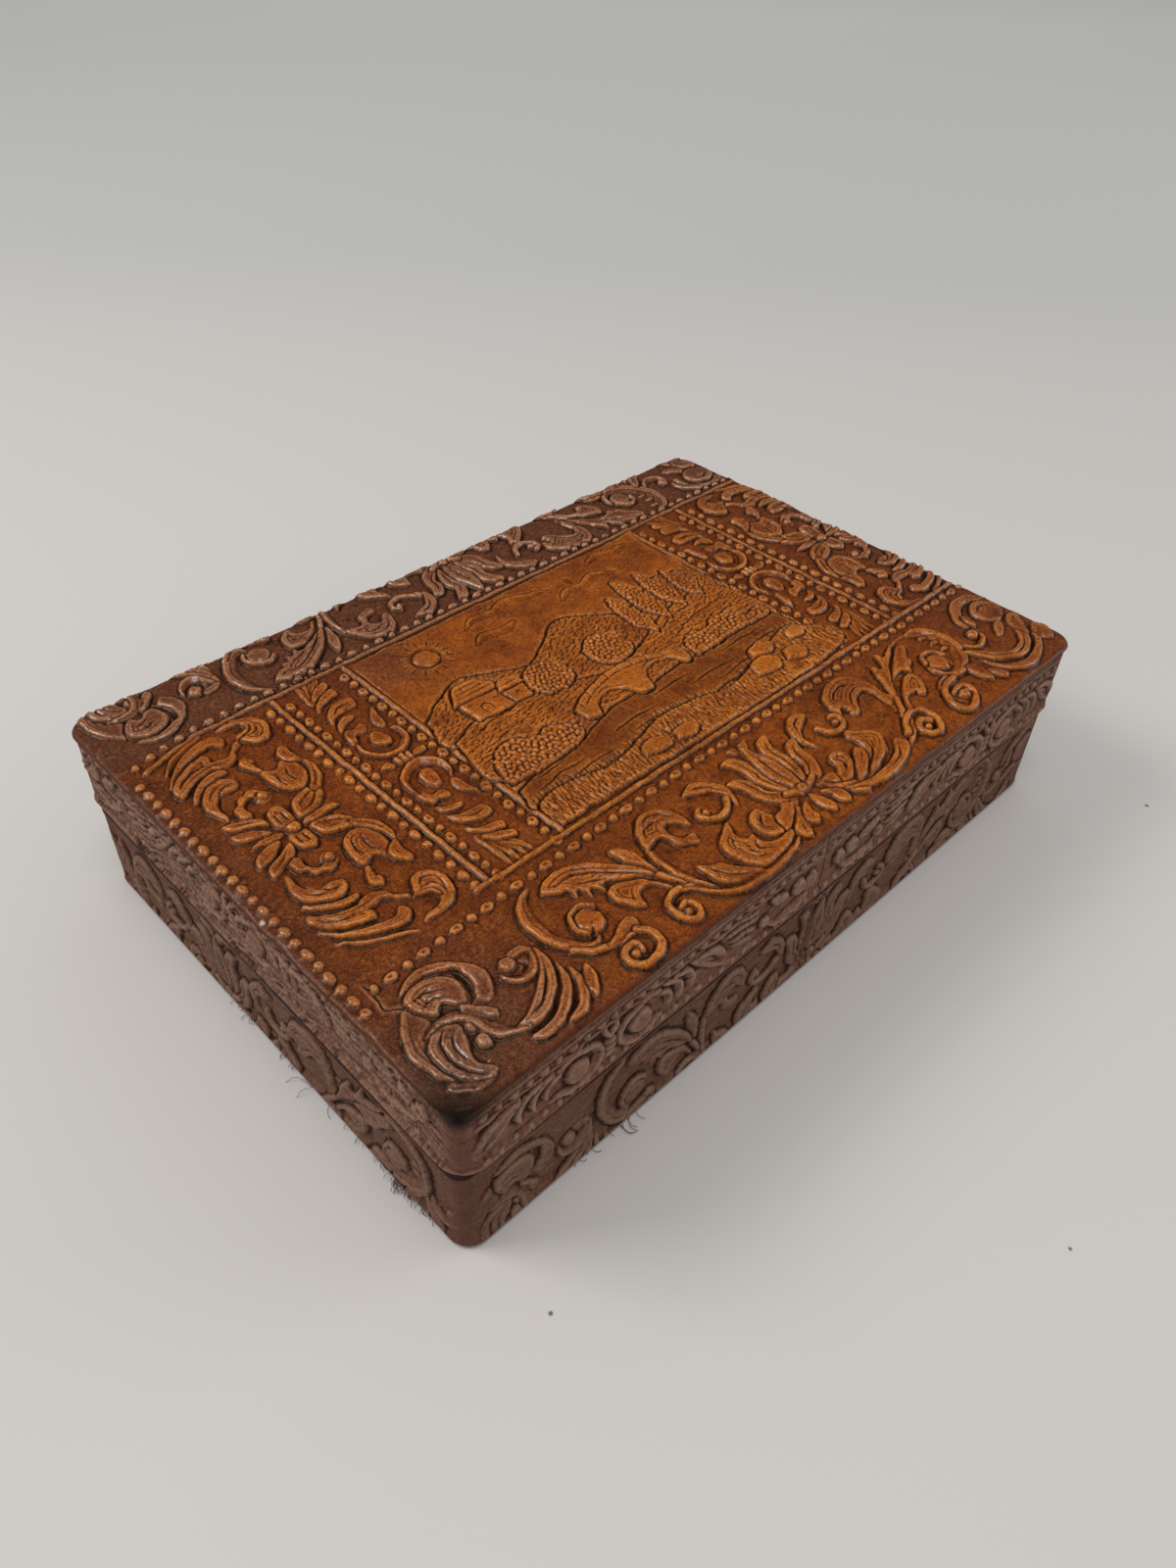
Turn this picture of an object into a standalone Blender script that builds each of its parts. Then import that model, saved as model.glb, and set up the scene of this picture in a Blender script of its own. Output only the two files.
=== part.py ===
"""Tobacco box: a wooden case covered with embossed leather, with a hinged lid.

Metres, +Z up. The front faces -Y, the hinges are along the back at +Y. The origin is
on the table under the middle of the case. Pieces that are glued or screwed together
keep a thin glue gap, so that every piece stays a solid of its own.
"""
from math import pi

import bmesh
import bpy
from mathutils import Matrix, Vector

# Outside of the closed box
BOX_LENGTH = 0.195
BOX_DEPTH = 0.131
BOX_HEIGHT = 0.047
RIM_HEIGHT = 0.027
SEAM_GAP = 0.0004
LID_OVERHANG = 0.0005
CORNER_RADIUS = 0.0055
TOP_EDGE_RADIUS = 0.0016

# Thicknesses
SIDE_LEATHER = 0.0018
TOP_LEATHER = 0.002
WALL_BOARD = 0.005
TOP_BOARD = 0.0045
BOTTOM_BOARD = 0.004
FELT = 0.0009
LINING = 0.0012
DIVIDER = 0.003

# Fits between the pieces
GLUE_GAP = 0.0003
FELT_INSET = 0.0012
LINING_DROP = 0.0005
DIVIDER_HEIGHT = 0.015
LEATHER_JOINT = 0.0003

# Hinges: two small brass butt hinges let into the seam at the back
HINGE_FROM_END = 0.0375
HINGE_WIDTH = 0.02
MIDDLE_KNUCKLE = 0.007
KNUCKLE_GAP = 0.0003
BARREL_RADIUS = 0.0016
AXIS_BEHIND_LID = 0.0004
LEAF_THICKNESS = 0.0008
LEAF_DEPTH = 0.0065
PIN_RADIUS = 0.0007
PIN_HEAD_RADIUS = 0.0012
PIN_HEAD = 0.0005
RUNNING_CLEARANCE = 0.0001

# Screws: two countersunk brass screws through each leaf
SCREW_SPACING = 0.013
SCREW_LENGTH = 0.006
SCREW_HEAD_RADIUS = 0.0013
SCREW_RADIUS = 0.0007
SCREW_SINK = 0.00008
SCREW_CLEARANCE = 0.00015
SLOT_WIDTH = 0.0004
SLOT_DEPTH = 0.0003

# Smoothness of the round shapes
CORNER_STEPS = 6
EDGE_STEPS = 3
TURN_STEPS = 24

# Where the main faces lie
LID_HALF = Vector((BOX_LENGTH / 2, BOX_DEPTH / 2))
BASE_HALF = LID_HALF - Vector((LID_OVERHANG, LID_OVERHANG))
LID_LOW = RIM_HEIGHT + SEAM_GAP
SKIN = SIDE_LEATHER + GLUE_GAP
SHELL = SKIN + WALL_BOARD
LINED = SHELL + GLUE_GAP + LINING
BOTTOM_LOW = FELT + GLUE_GAP
BASE_WALL_LOW = BOTTOM_LOW + BOTTOM_BOARD + GLUE_GAP
TOP_BOARD_HIGH = BOX_HEIGHT - TOP_LEATHER - GLUE_GAP
LID_WALL_HIGH = TOP_BOARD_HIGH - TOP_BOARD - GLUE_GAP
FLOOR_HIGH = BASE_WALL_LOW + LINING
LINING_HIGH = RIM_HEIGHT - LINING_DROP
AXIS = Vector((0.0, LID_HALF.y + AXIS_BEHIND_LID, RIM_HEIGHT + SEAM_GAP / 2))
HINGE_CENTRE = LID_HALF.x - HINGE_FROM_END
LEAF_INNER_Y = AXIS.y - LEAF_DEPTH
LEAF_OUTER_Y = AXIS.y - BARREL_RADIUS - KNUCKLE_GAP
SCREW_Y = (LEAF_INNER_Y + BASE_HALF.y - SKIN) / 2

# Colour, roughness and metallic value of each kind of material
FINISHES = {
    "top_leather": ((0.24, 0.085, 0.022), 0.42, 0.0),
    "side_leather": ((0.105, 0.058, 0.042), 0.7, 0.0),
    "case_wood": ((0.36, 0.2, 0.1), 0.65, 0.0),
    "cedar": ((0.44, 0.2, 0.095), 0.6, 0.0),
    "felt": ((0.17, 0.04, 0.022), 0.95, 0.0),
    "brass": ((0.6, 0.4, 0.16), 0.35, 1.0),
}


def clear_scene():
    for old in list(bpy.data.objects):
        bpy.data.objects.remove(old, do_unlink=True)


def new_collection(name):
    group = bpy.data.collections.new(name)
    bpy.context.scene.collection.children.link(group)
    return group


def new_material(name, finish):
    colour, roughness, metallic = FINISHES[finish]
    material = bpy.data.materials.new(name)
    material.use_nodes = True
    shader = material.node_tree.nodes["Principled BSDF"]
    shader.inputs["Base Color"].default_value = (*colour, 1.0)
    shader.inputs["Roughness"].default_value = roughness
    shader.inputs["Metallic"].default_value = metallic
    material.diffuse_color = (*colour, 1.0)
    return material


def place(name, mesh, centre, finish):
    """Put a mesh in the box's collection; lid pieces hang on the hinge axis."""
    piece = bpy.data.objects.new(name, mesh)
    BOX.objects.link(piece)
    piece.location = centre
    if name.startswith("lid_"):
        piece.parent = LID_AXIS
        piece.location = centre - AXIS
    mesh.materials.append(new_material(name, finish))
    return piece


def place_cutter(name, mesh, centre):
    cutter = bpy.data.objects.new(name, mesh)
    CUTTERS.objects.link(cutter)
    cutter.location = centre
    cutter.hide_render = True
    cutter.display_type = "WIRE"
    return cutter


def combine(piece, other, operation):
    modifier = piece.modifiers.new(other.name, "BOOLEAN")
    modifier.operation = operation
    modifier.solver = "EXACT"
    modifier.object = other


def cube_bmesh(size):
    bm = bmesh.new()
    bmesh.ops.create_cube(bm, size=1.0)
    bmesh.ops.scale(bm, vec=size, verts=bm.verts)
    return bm


def is_upright(edge):
    start, end = edge.verts
    return abs(start.co.z - end.co.z) > 1e-6


def round_edges(bm, edges, radius, steps):
    bmesh.ops.bevel(bm, geom=edges, offset=radius, offset_type="OFFSET",
                    segments=steps, profile=0.5, affect="EDGES", clamp_overlap=True)


def level_edges(bm, side):
    """The edges round the top face (side +1) or the bottom face (side -1)."""
    height = side * max(side * vert.co.z for vert in bm.verts)
    return [edge for edge in bm.edges if all(abs(v.co.z - height) < 1e-6 for v in edge.verts)]


def mesh_from(bm, name):
    mesh = bpy.data.meshes.new(name)
    bm.to_mesh(mesh)
    bm.free()
    return mesh


def block_mesh(name, low, high, rounded=(), radius=0.0, top_radius=0.0):
    """A block between two corners; rounded names its upright edges by the signs of x and y."""
    bm = cube_bmesh(high - low)
    uprights = [edge for edge in bm.edges if is_upright(edge)
                and any(edge.verts[0].co.x * sx > 0 and edge.verts[0].co.y * sy > 0
                        for sx, sy in rounded)]
    if uprights:
        round_edges(bm, uprights, radius, CORNER_STEPS)
    if top_radius:
        round_edges(bm, level_edges(bm, 1), top_radius, EDGE_STEPS)
    return mesh_from(bm, name)


def block(name, finish, low, high, **rounding):
    low = Vector(low)
    high = Vector(high)
    return place(name, block_mesh(name, low, high, **rounding), (low + high) / 2, finish)


def cutter_block(name, low, high):
    low = Vector(low)
    high = Vector(high)
    return place_cutter(name, block_mesh(name, low, high), (low + high) / 2)


def turned_mesh(name, profile):
    """A profile of (radius, height) points, top to bottom, turned about Z."""
    bm = bmesh.new()
    verts = [bm.verts.new((radius, 0.0, height)) for radius, height in profile]
    for start, end in zip(verts, verts[1:]):
        bm.edges.new((start, end))
    return mesh_from(bm, name)


def turn(piece):
    modifier = piece.modifiers.new("turned", "SCREW")
    modifier.axis = "Z"
    modifier.steps = TURN_STEPS
    modifier.render_steps = TURN_STEPS
    modifier.use_merge_vertices = True
    modifier.merge_threshold = 0.00001
    return piece


def full_slab(name, finish, half, low, high, radius, top_radius=0.0):
    """A slab over the whole plan, with its four corners rounded."""
    corners = ((-1, -1), (1, -1), (1, 1), (-1, 1))
    return block(name, finish, (-half.x, -half.y, low), (half.x, half.y, high),
                 rounded=corners, radius=radius, top_radius=top_radius)


def wall_set(prefix, finish, half, low, high, thickness, radius=0.0, suffix="board"):
    """Front and back walls over the full length, and side walls between them."""
    walls = {}
    inner = half - Vector((thickness, thickness))
    for side, word in ((-1, "front"), (1, "back")):
        near, far = sorted((side * half.y, side * inner.y))
        walls[word] = block(f"{prefix}_{word}_{suffix}", finish, (-half.x, near, low),
                            (half.x, far, high), rounded=((-1, side), (1, side)), radius=radius)
    gap_y = inner.y - GLUE_GAP
    for side, word in ((-1, "left"), (1, "right")):
        near, far = sorted((side * half.x, side * inner.x))
        walls[word] = block(f"{prefix}_{word}_{suffix}", finish, (near, -gap_y, low), (far, gap_y, high))
    return walls


def wrap_strip(name, side, half, radius, low, high):
    """Half of the leather round the walls, from the front joint to the back joint."""
    bm = cube_bmesh(Vector((2 * half.x, 2 * half.y, high - low)))
    ends = [face for face in bm.faces if abs(face.normal.z) > 0.5]
    bmesh.ops.delete(bm, geom=ends, context="FACES_ONLY")
    round_edges(bm, [edge for edge in bm.edges if is_upright(edge)], radius, CORNER_STEPS)
    strip = place(name, mesh_from(bm, name), Vector((0.0, 0.0, (low + high) / 2)), "side_leather")
    shell = strip.modifiers.new("thickness", "SOLIDIFY")
    shell.thickness = SIDE_LEATHER
    shell.offset = -1.0
    shell.use_even_offset = True
    joint = side * LEATHER_JOINT / 2
    reach = side * 2 * half.x
    keep_low, keep_high = sorted((joint, reach))
    keep = cutter_block(f"{name}_half", (keep_low, -2 * half.y, low - half.y),
                        (keep_high, 2 * half.y, high + half.y))
    combine(strip, keep, "INTERSECT")
    return strip


def leather_strips(prefix, half, radius, low, high):
    strips = {}
    for side, word in ((-1, "left"), (1, "right")):
        strips[side] = wrap_strip(f"{prefix}_leather_{word}", side, half, radius, low, high)
    return strips


def case_walls():
    """The wooden carcass of the base and the lid."""
    base_half = BASE_HALF - Vector((SKIN, SKIN))
    lid_half = LID_HALF - Vector((SKIN, SKIN))
    base_radius = CORNER_RADIUS - LID_OVERHANG - SKIN
    lid_radius = CORNER_RADIUS - SKIN
    full_slab("base_bottom_board", "case_wood", base_half, BOTTOM_LOW,
              BOTTOM_LOW + BOTTOM_BOARD, base_radius)
    full_slab("lid_top_board", "case_wood", lid_half, TOP_BOARD_HIGH - TOP_BOARD,
              TOP_BOARD_HIGH, lid_radius)
    base = wall_set("base", "case_wood", base_half, BASE_WALL_LOW, RIM_HEIGHT,
                    WALL_BOARD, base_radius)
    lid = wall_set("lid", "case_wood", lid_half, LID_LOW, LID_WALL_HIGH, WALL_BOARD, lid_radius)
    return base["back"], lid["back"]


def leather_cover():
    """The embossed sheet on top, and the strips round the sides."""
    full_slab("lid_top_leather", "top_leather", LID_HALF, BOX_HEIGHT - TOP_LEATHER,
              BOX_HEIGHT, CORNER_RADIUS, top_radius=TOP_EDGE_RADIUS)
    base = leather_strips("base", BASE_HALF, CORNER_RADIUS - LID_OVERHANG, BOTTOM_LOW, RIM_HEIGHT)
    lid = leather_strips("lid", LID_HALF, CORNER_RADIUS, LID_LOW, TOP_BOARD_HIGH)
    return base, lid


def foot_felt():
    half = BASE_HALF - Vector((FELT_INSET, FELT_INSET))
    full_slab("base_felt", "felt", half, 0.0, FELT, CORNER_RADIUS - LID_OVERHANG - FELT_INSET)


def cedar_lining():
    """Thin cedar boards inside, and the divider between the two compartments."""
    base_half = BASE_HALF - Vector((SHELL + GLUE_GAP, SHELL + GLUE_GAP))
    lid_half = LID_HALF - Vector((SHELL + GLUE_GAP, SHELL + GLUE_GAP))
    block("base_floor_lining", "cedar", (-base_half.x, -base_half.y, BASE_WALL_LOW),
          (base_half.x, base_half.y, FLOOR_HIGH))
    wall_set("base", "cedar", base_half, FLOOR_HIGH + GLUE_GAP, LINING_HIGH, LINING,
             suffix="lining")
    top_low = LID_WALL_HIGH - LINING
    block("lid_top_lining", "cedar", (-lid_half.x, -lid_half.y, top_low),
          (lid_half.x, lid_half.y, LID_WALL_HIGH))
    wall_set("lid", "cedar", lid_half, LID_LOW + LINING_DROP, top_low - GLUE_GAP, LINING,
             suffix="lining")
    reach = BASE_HALF.y - LINED - GLUE_GAP
    low = FLOOR_HIGH + GLUE_GAP
    block("base_divider", "cedar", (-DIVIDER / 2, -reach, low),
          (DIVIDER / 2, reach, low + DIVIDER_HEIGHT))


def barrel(name, centre_x, length, radius):
    """A cylinder along the hinge axis, used to add a knuckle or to cut its bore."""
    bm = bmesh.new()
    bmesh.ops.create_cone(bm, cap_ends=True, segments=TURN_STEPS, radius1=radius,
                          radius2=radius, depth=length, matrix=Matrix.Rotation(pi / 2, 4, "Y"))
    return place_cutter(name, mesh_from(bm, name), Vector((centre_x, AXIS.y, AXIS.z)))


def screw_profile(grow):
    """Countersunk head and shank, down from the head's flat; grow widens it into its hole."""
    head = LEAF_THICKNESS - SCREW_SINK
    mouth = [(SCREW_HEAD_RADIUS + grow, grow)] if grow else []
    return [(0.0, grow), *mouth, (SCREW_HEAD_RADIUS + grow, 0.0), (SCREW_RADIUS + grow, -head),
            (SCREW_RADIUS + grow, SCREW_RADIUS - SCREW_LENGTH), (0.0, -SCREW_LENGTH - 2 * grow)]


def fasten(leaf, wall, up, screw_x):
    """One screw through the leaf into the wall, with the hole that it needs in both."""
    word = "lid" if up > 0 else "base"
    head_z = AXIS.z + up * (SEAM_GAP / 2 + SCREW_SINK)
    centre = Vector((screw_x, SCREW_Y, head_z))
    side = "left" if screw_x < 0 else "right"
    end = "outer" if abs(screw_x) > HINGE_CENTRE else "inner"
    name = f"{word}_hinge_screw_{side}_{end}"
    screw = turn(place(name, turned_mesh(name, screw_profile(0.0)), centre, "brass"))
    space = turned_mesh(f"{name}_hole", screw_profile(SCREW_CLEARANCE))
    hole = turn(place_cutter(space.name, space, centre))
    for turned in (screw, hole):
        turned.rotation_euler.x = pi if up > 0 else 0.0
    slot_half = Vector((SCREW_HEAD_RADIUS * 2, SLOT_WIDTH / 2, SLOT_DEPTH))
    slot = cutter_block(f"{name}_slot", centre - slot_half, centre + slot_half)
    combine(screw, slot, "DIFFERENCE")
    combine(leaf, hole, "DIFFERENCE")
    combine(wall, hole, "DIFFERENCE")


def hinge_leaf(word, side, up, wall):
    """One leaf with its knuckles: the base leaf has the outer two, the lid leaf the middle one."""
    centre_x = side * HINGE_CENTRE
    hand = "left" if side < 0 else "right"
    name = f"{word}_hinge_leaf_{hand}"
    half = HINGE_WIDTH / 2
    face = AXIS.z + up * SEAM_GAP / 2
    low, high = sorted((face, face + up * LEAF_THICKNESS))
    leaf = block(name, "brass", (centre_x - half, LEAF_INNER_Y, low),
                 (centre_x + half, LEAF_OUTER_Y, high))
    outer = (HINGE_WIDTH - MIDDLE_KNUCKLE) / 2 - KNUCKLE_GAP
    spans = ((0.0, MIDDLE_KNUCKLE),)
    if up < 0:
        offset = half - outer / 2
        spans = ((-offset, outer), (offset, outer))
    for index, (offset, length) in enumerate(spans):
        middle = centre_x + offset
        tab = cutter_block(f"{name}_tab_{index}",
                           (middle - length / 2, LEAF_OUTER_Y - LEAF_THICKNESS, low),
                           (middle + length / 2, AXIS.y, high))
        combine(leaf, tab, "UNION")
        combine(leaf, barrel(f"{name}_knuckle_{index}", middle, length, BARREL_RADIUS), "UNION")
    bore = barrel(f"{name}_bore", centre_x, HINGE_WIDTH * 2, PIN_RADIUS + RUNNING_CLEARANCE)
    combine(leaf, bore, "DIFFERENCE")
    for shift in (-SCREW_SPACING / 2, SCREW_SPACING / 2):
        fasten(leaf, wall, up, centre_x + shift)


def hinge_pin(side):
    """A pin with a peened head at each end."""
    reach = HINGE_WIDTH / 2 + KNUCKLE_GAP
    end = reach + PIN_HEAD
    profile = ((0.0, end), (PIN_HEAD_RADIUS, end), (PIN_HEAD_RADIUS, reach), (PIN_RADIUS, reach),
               (PIN_RADIUS, -reach), (PIN_HEAD_RADIUS, -reach), (PIN_HEAD_RADIUS, -end), (0.0, -end))
    name = "base_hinge_pin_left" if side < 0 else "base_hinge_pin_right"
    pin = place(name, turned_mesh(name, profile), AXIS + Vector((side * HINGE_CENTRE, 0.0, 0.0)), "brass")
    pin.rotation_euler.y = pi / 2
    turn(pin)


def hinges(base_back, lid_back, base_strips, lid_strips):
    for side in (-1, 1):
        hand = "left" if side < 0 else "right"
        centre_x = side * HINGE_CENTRE
        reach_x = HINGE_WIDTH / 2 + GLUE_GAP
        leaf_z = SEAM_GAP / 2 + LEAF_THICKNESS + GLUE_GAP
        mortise = cutter_block(f"hinge_mortise_{hand}",
                               (centre_x - reach_x, LEAF_INNER_Y - GLUE_GAP, AXIS.z - leaf_z),
                               (centre_x + reach_x, AXIS.y, AXIS.z + leaf_z))
        notch_x = reach_x + PIN_HEAD + KNUCKLE_GAP
        notch_z = BARREL_RADIUS + KNUCKLE_GAP
        notch = cutter_block(f"hinge_notch_{hand}",
                             (centre_x - notch_x, BASE_HALF.y - SKIN, AXIS.z - notch_z),
                             (centre_x + notch_x, AXIS.y + BARREL_RADIUS, AXIS.z + notch_z))
        for wall in (base_back, lid_back):
            combine(wall, mortise, "DIFFERENCE")
        for strips in (base_strips, lid_strips):
            combine(strips[side], notch, "DIFFERENCE")
        hinge_leaf("base", side, -1, base_back)
        hinge_leaf("lid", side, 1, lid_back)
        hinge_pin(side)


clear_scene()
BOX = new_collection("tobacco_box")
CUTTERS = new_collection("cutters")
LID_AXIS = bpy.data.objects.new("lid_axis", None)
LID_AXIS.location = AXIS
BOX.objects.link(LID_AXIS)

BASE_BACK, LID_BACK = case_walls()
BASE_STRIPS, LID_STRIPS = leather_cover()
foot_felt()
cedar_lining()
hinges(BASE_BACK, LID_BACK, BASE_STRIPS, LID_STRIPS)
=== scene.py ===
import math
from contextlib import contextmanager

import bpy
import numpy as np
from bpy.props import FloatProperty, FloatVectorProperty, IntProperty, PointerProperty
from mathutils import Matrix, Vector


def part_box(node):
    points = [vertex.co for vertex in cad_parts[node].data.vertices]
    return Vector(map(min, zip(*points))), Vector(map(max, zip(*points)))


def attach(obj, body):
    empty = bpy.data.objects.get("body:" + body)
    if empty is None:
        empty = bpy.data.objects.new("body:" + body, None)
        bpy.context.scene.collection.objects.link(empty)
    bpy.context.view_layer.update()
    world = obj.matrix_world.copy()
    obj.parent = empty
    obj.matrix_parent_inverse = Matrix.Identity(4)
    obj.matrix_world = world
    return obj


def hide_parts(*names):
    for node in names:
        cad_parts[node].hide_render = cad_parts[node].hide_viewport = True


bl_info = {
    "name": "Embossed Leather Table Box",
    "version": (1, 0, 0),
    "blender": (4, 5, 0),
    "location": "View3D > Sidebar > Table Box",
    "description": "Dresses the packed box in embossed leather, cedar, felt and brass",
    "category": "Add Mesh",
}

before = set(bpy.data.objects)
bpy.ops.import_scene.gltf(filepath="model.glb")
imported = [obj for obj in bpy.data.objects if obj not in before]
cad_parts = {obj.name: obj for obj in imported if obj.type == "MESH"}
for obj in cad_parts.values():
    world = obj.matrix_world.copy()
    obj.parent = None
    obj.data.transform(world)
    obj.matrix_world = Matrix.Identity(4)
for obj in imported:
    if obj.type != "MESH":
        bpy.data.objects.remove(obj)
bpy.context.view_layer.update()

# Outlines of the lid and the base, in millimetres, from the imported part
MM = 0.001
LID_LOW, LID_HIGH = (np.array(p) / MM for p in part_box("lid_top_leather"))
LID_STRIP_LOW = np.array(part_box("lid_leather_left")[0]) / MM
BASE_STRIP_LOW, BASE_STRIP_HIGH = (np.array(p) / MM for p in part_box("base_leather_left"))
FELT_HIGH = np.array(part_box("base_felt")[1]) / MM
LID_X, LID_Y = LID_HIGH[0], LID_HIGH[1]
BASE_X, BASE_Y = -BASE_STRIP_LOW[0], BASE_STRIP_HIGH[1]
LENGTH, DEPTH = 2 * LID_X, 2 * LID_Y
LID_CORNER, BASE_CORNER = 5.5, 5.0
TOP_ROUNDING = 1.6
TOP_EDGE_DROP = 0.78
# How tall the highest ornament is drawn on the height maps
TOP_TALL, SIDE_TALL = 1.1, 0.95
DEEPEST_CUT = -0.3
STRIP_WALL = 1.75
JOINT_HALF = 0.15
HINGE_PLACES = (-60.0, 60.0)
HINGE_NOTCH_HALF = 11.1
# The lid's leather hangs a little below its wooden rim and hides the joint
LID_LIP = LID_STRIP_LOW[2] - 1.6
LID_PATTERN_LOW = LID_STRIP_LOW[2] - 1.3
BASE_RIM = BASE_STRIP_HIGH[2] - 1.5
SEAM_RISE = 1.1
LID_NOTCH = LID_STRIP_LOW[2] + 1.75
BASE_NOTCH = BASE_STRIP_HIGH[2] - 1.75


# Drawing relief on a height map

def smoothstep(x):
    x = np.clip(x, 0.0, 1.0)
    return x * x * (3 - 2 * x)


def bell(x, centre, width):
    return np.exp(-((x - centre) / width) ** 2)


def blurred(values, sigma):
    """Gaussian blur of a 2-D array, sigma in cells."""
    reach = max(1, int(round(3 * sigma)))
    kernel = np.exp(-0.5 * (np.arange(-reach, reach + 1) / sigma) ** 2)
    kernel /= kernel.sum()
    for axis in (0, 1):
        pad = [(0, 0), (0, 0)]
        pad[axis] = (reach, reach)
        wide = np.moveaxis(np.pad(values, pad, mode="edge"), axis, 0)
        count = values.shape[axis]
        total = sum(weight * wide[k:k + count] for k, weight in enumerate(kernel))
        values = np.ascontiguousarray(np.moveaxis(total, 0, axis))
    return values


def patchy(rng, shape, sigma):
    """Smooth random patches with a spread of 1."""
    noise = blurred(rng.normal(0, 1, shape), sigma)
    return noise / noise.std()


def strokes(text):
    """Reads strokes, each written as its kind, its numbers and its points as x,y. A form's numbers are its
    dish, its height and the direction of its high side. The others have a width, a height and a high side."""
    found = []
    for word in text.split():
        if word[0].isalpha():
            found.append((word, [], []))
        elif "," in word:
            found[-1][1].append([float(c) for c in word.split(",")])
        else:
            found[-1][2].append(float(word))
    return [(kind, np.array(points), numbers) for kind, points, numbers in found]


def points_of(text):
    return np.array([[float(c) for c in p.split(",")] for p in text.split()])


def smooth_path(points, step=0.22):
    """A Catmull-Rom curve through the points, sampled evenly."""
    if len(points) == 1:
        return points
    ends = np.vstack([2 * points[0] - points[1], points, 2 * points[-1] - points[-2]])
    pieces = []
    for a, b, c, d in zip(ends, ends[1:], ends[2:], ends[3:]):
        count = max(2, int(np.hypot(*(c - b)) / step))
        t = np.linspace(0, 1, count, endpoint=False)[:, None]
        pieces.append(0.5 * (2 * b + (c - a) * t + (2 * a - 5 * b + 4 * c - d) * t ** 2
                             + (3 * b - a - 3 * c + d) * t ** 3))
    return np.vstack(pieces + [points[-1:]])


def width_along(t, taper):
    if taper == "both":
        return np.minimum(1, (t / 0.3) ** 0.6) * np.minimum(1, ((1 - t) / 0.3) ** 0.6)
    if taper == "end":
        return np.minimum(1, ((1 - t) / 0.55) ** 0.7) * np.minimum(1, 0.55 + t / 0.25)
    if taper == "start":
        return np.minimum(1, (t / 0.4) ** 0.7)
    return np.ones_like(t)


TAPER_OF = {"crest": "both", "leaf": "end", "band": "none", "dome": "none", "cut": "both", "pit": "none",
            "spray": "both"}


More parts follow.
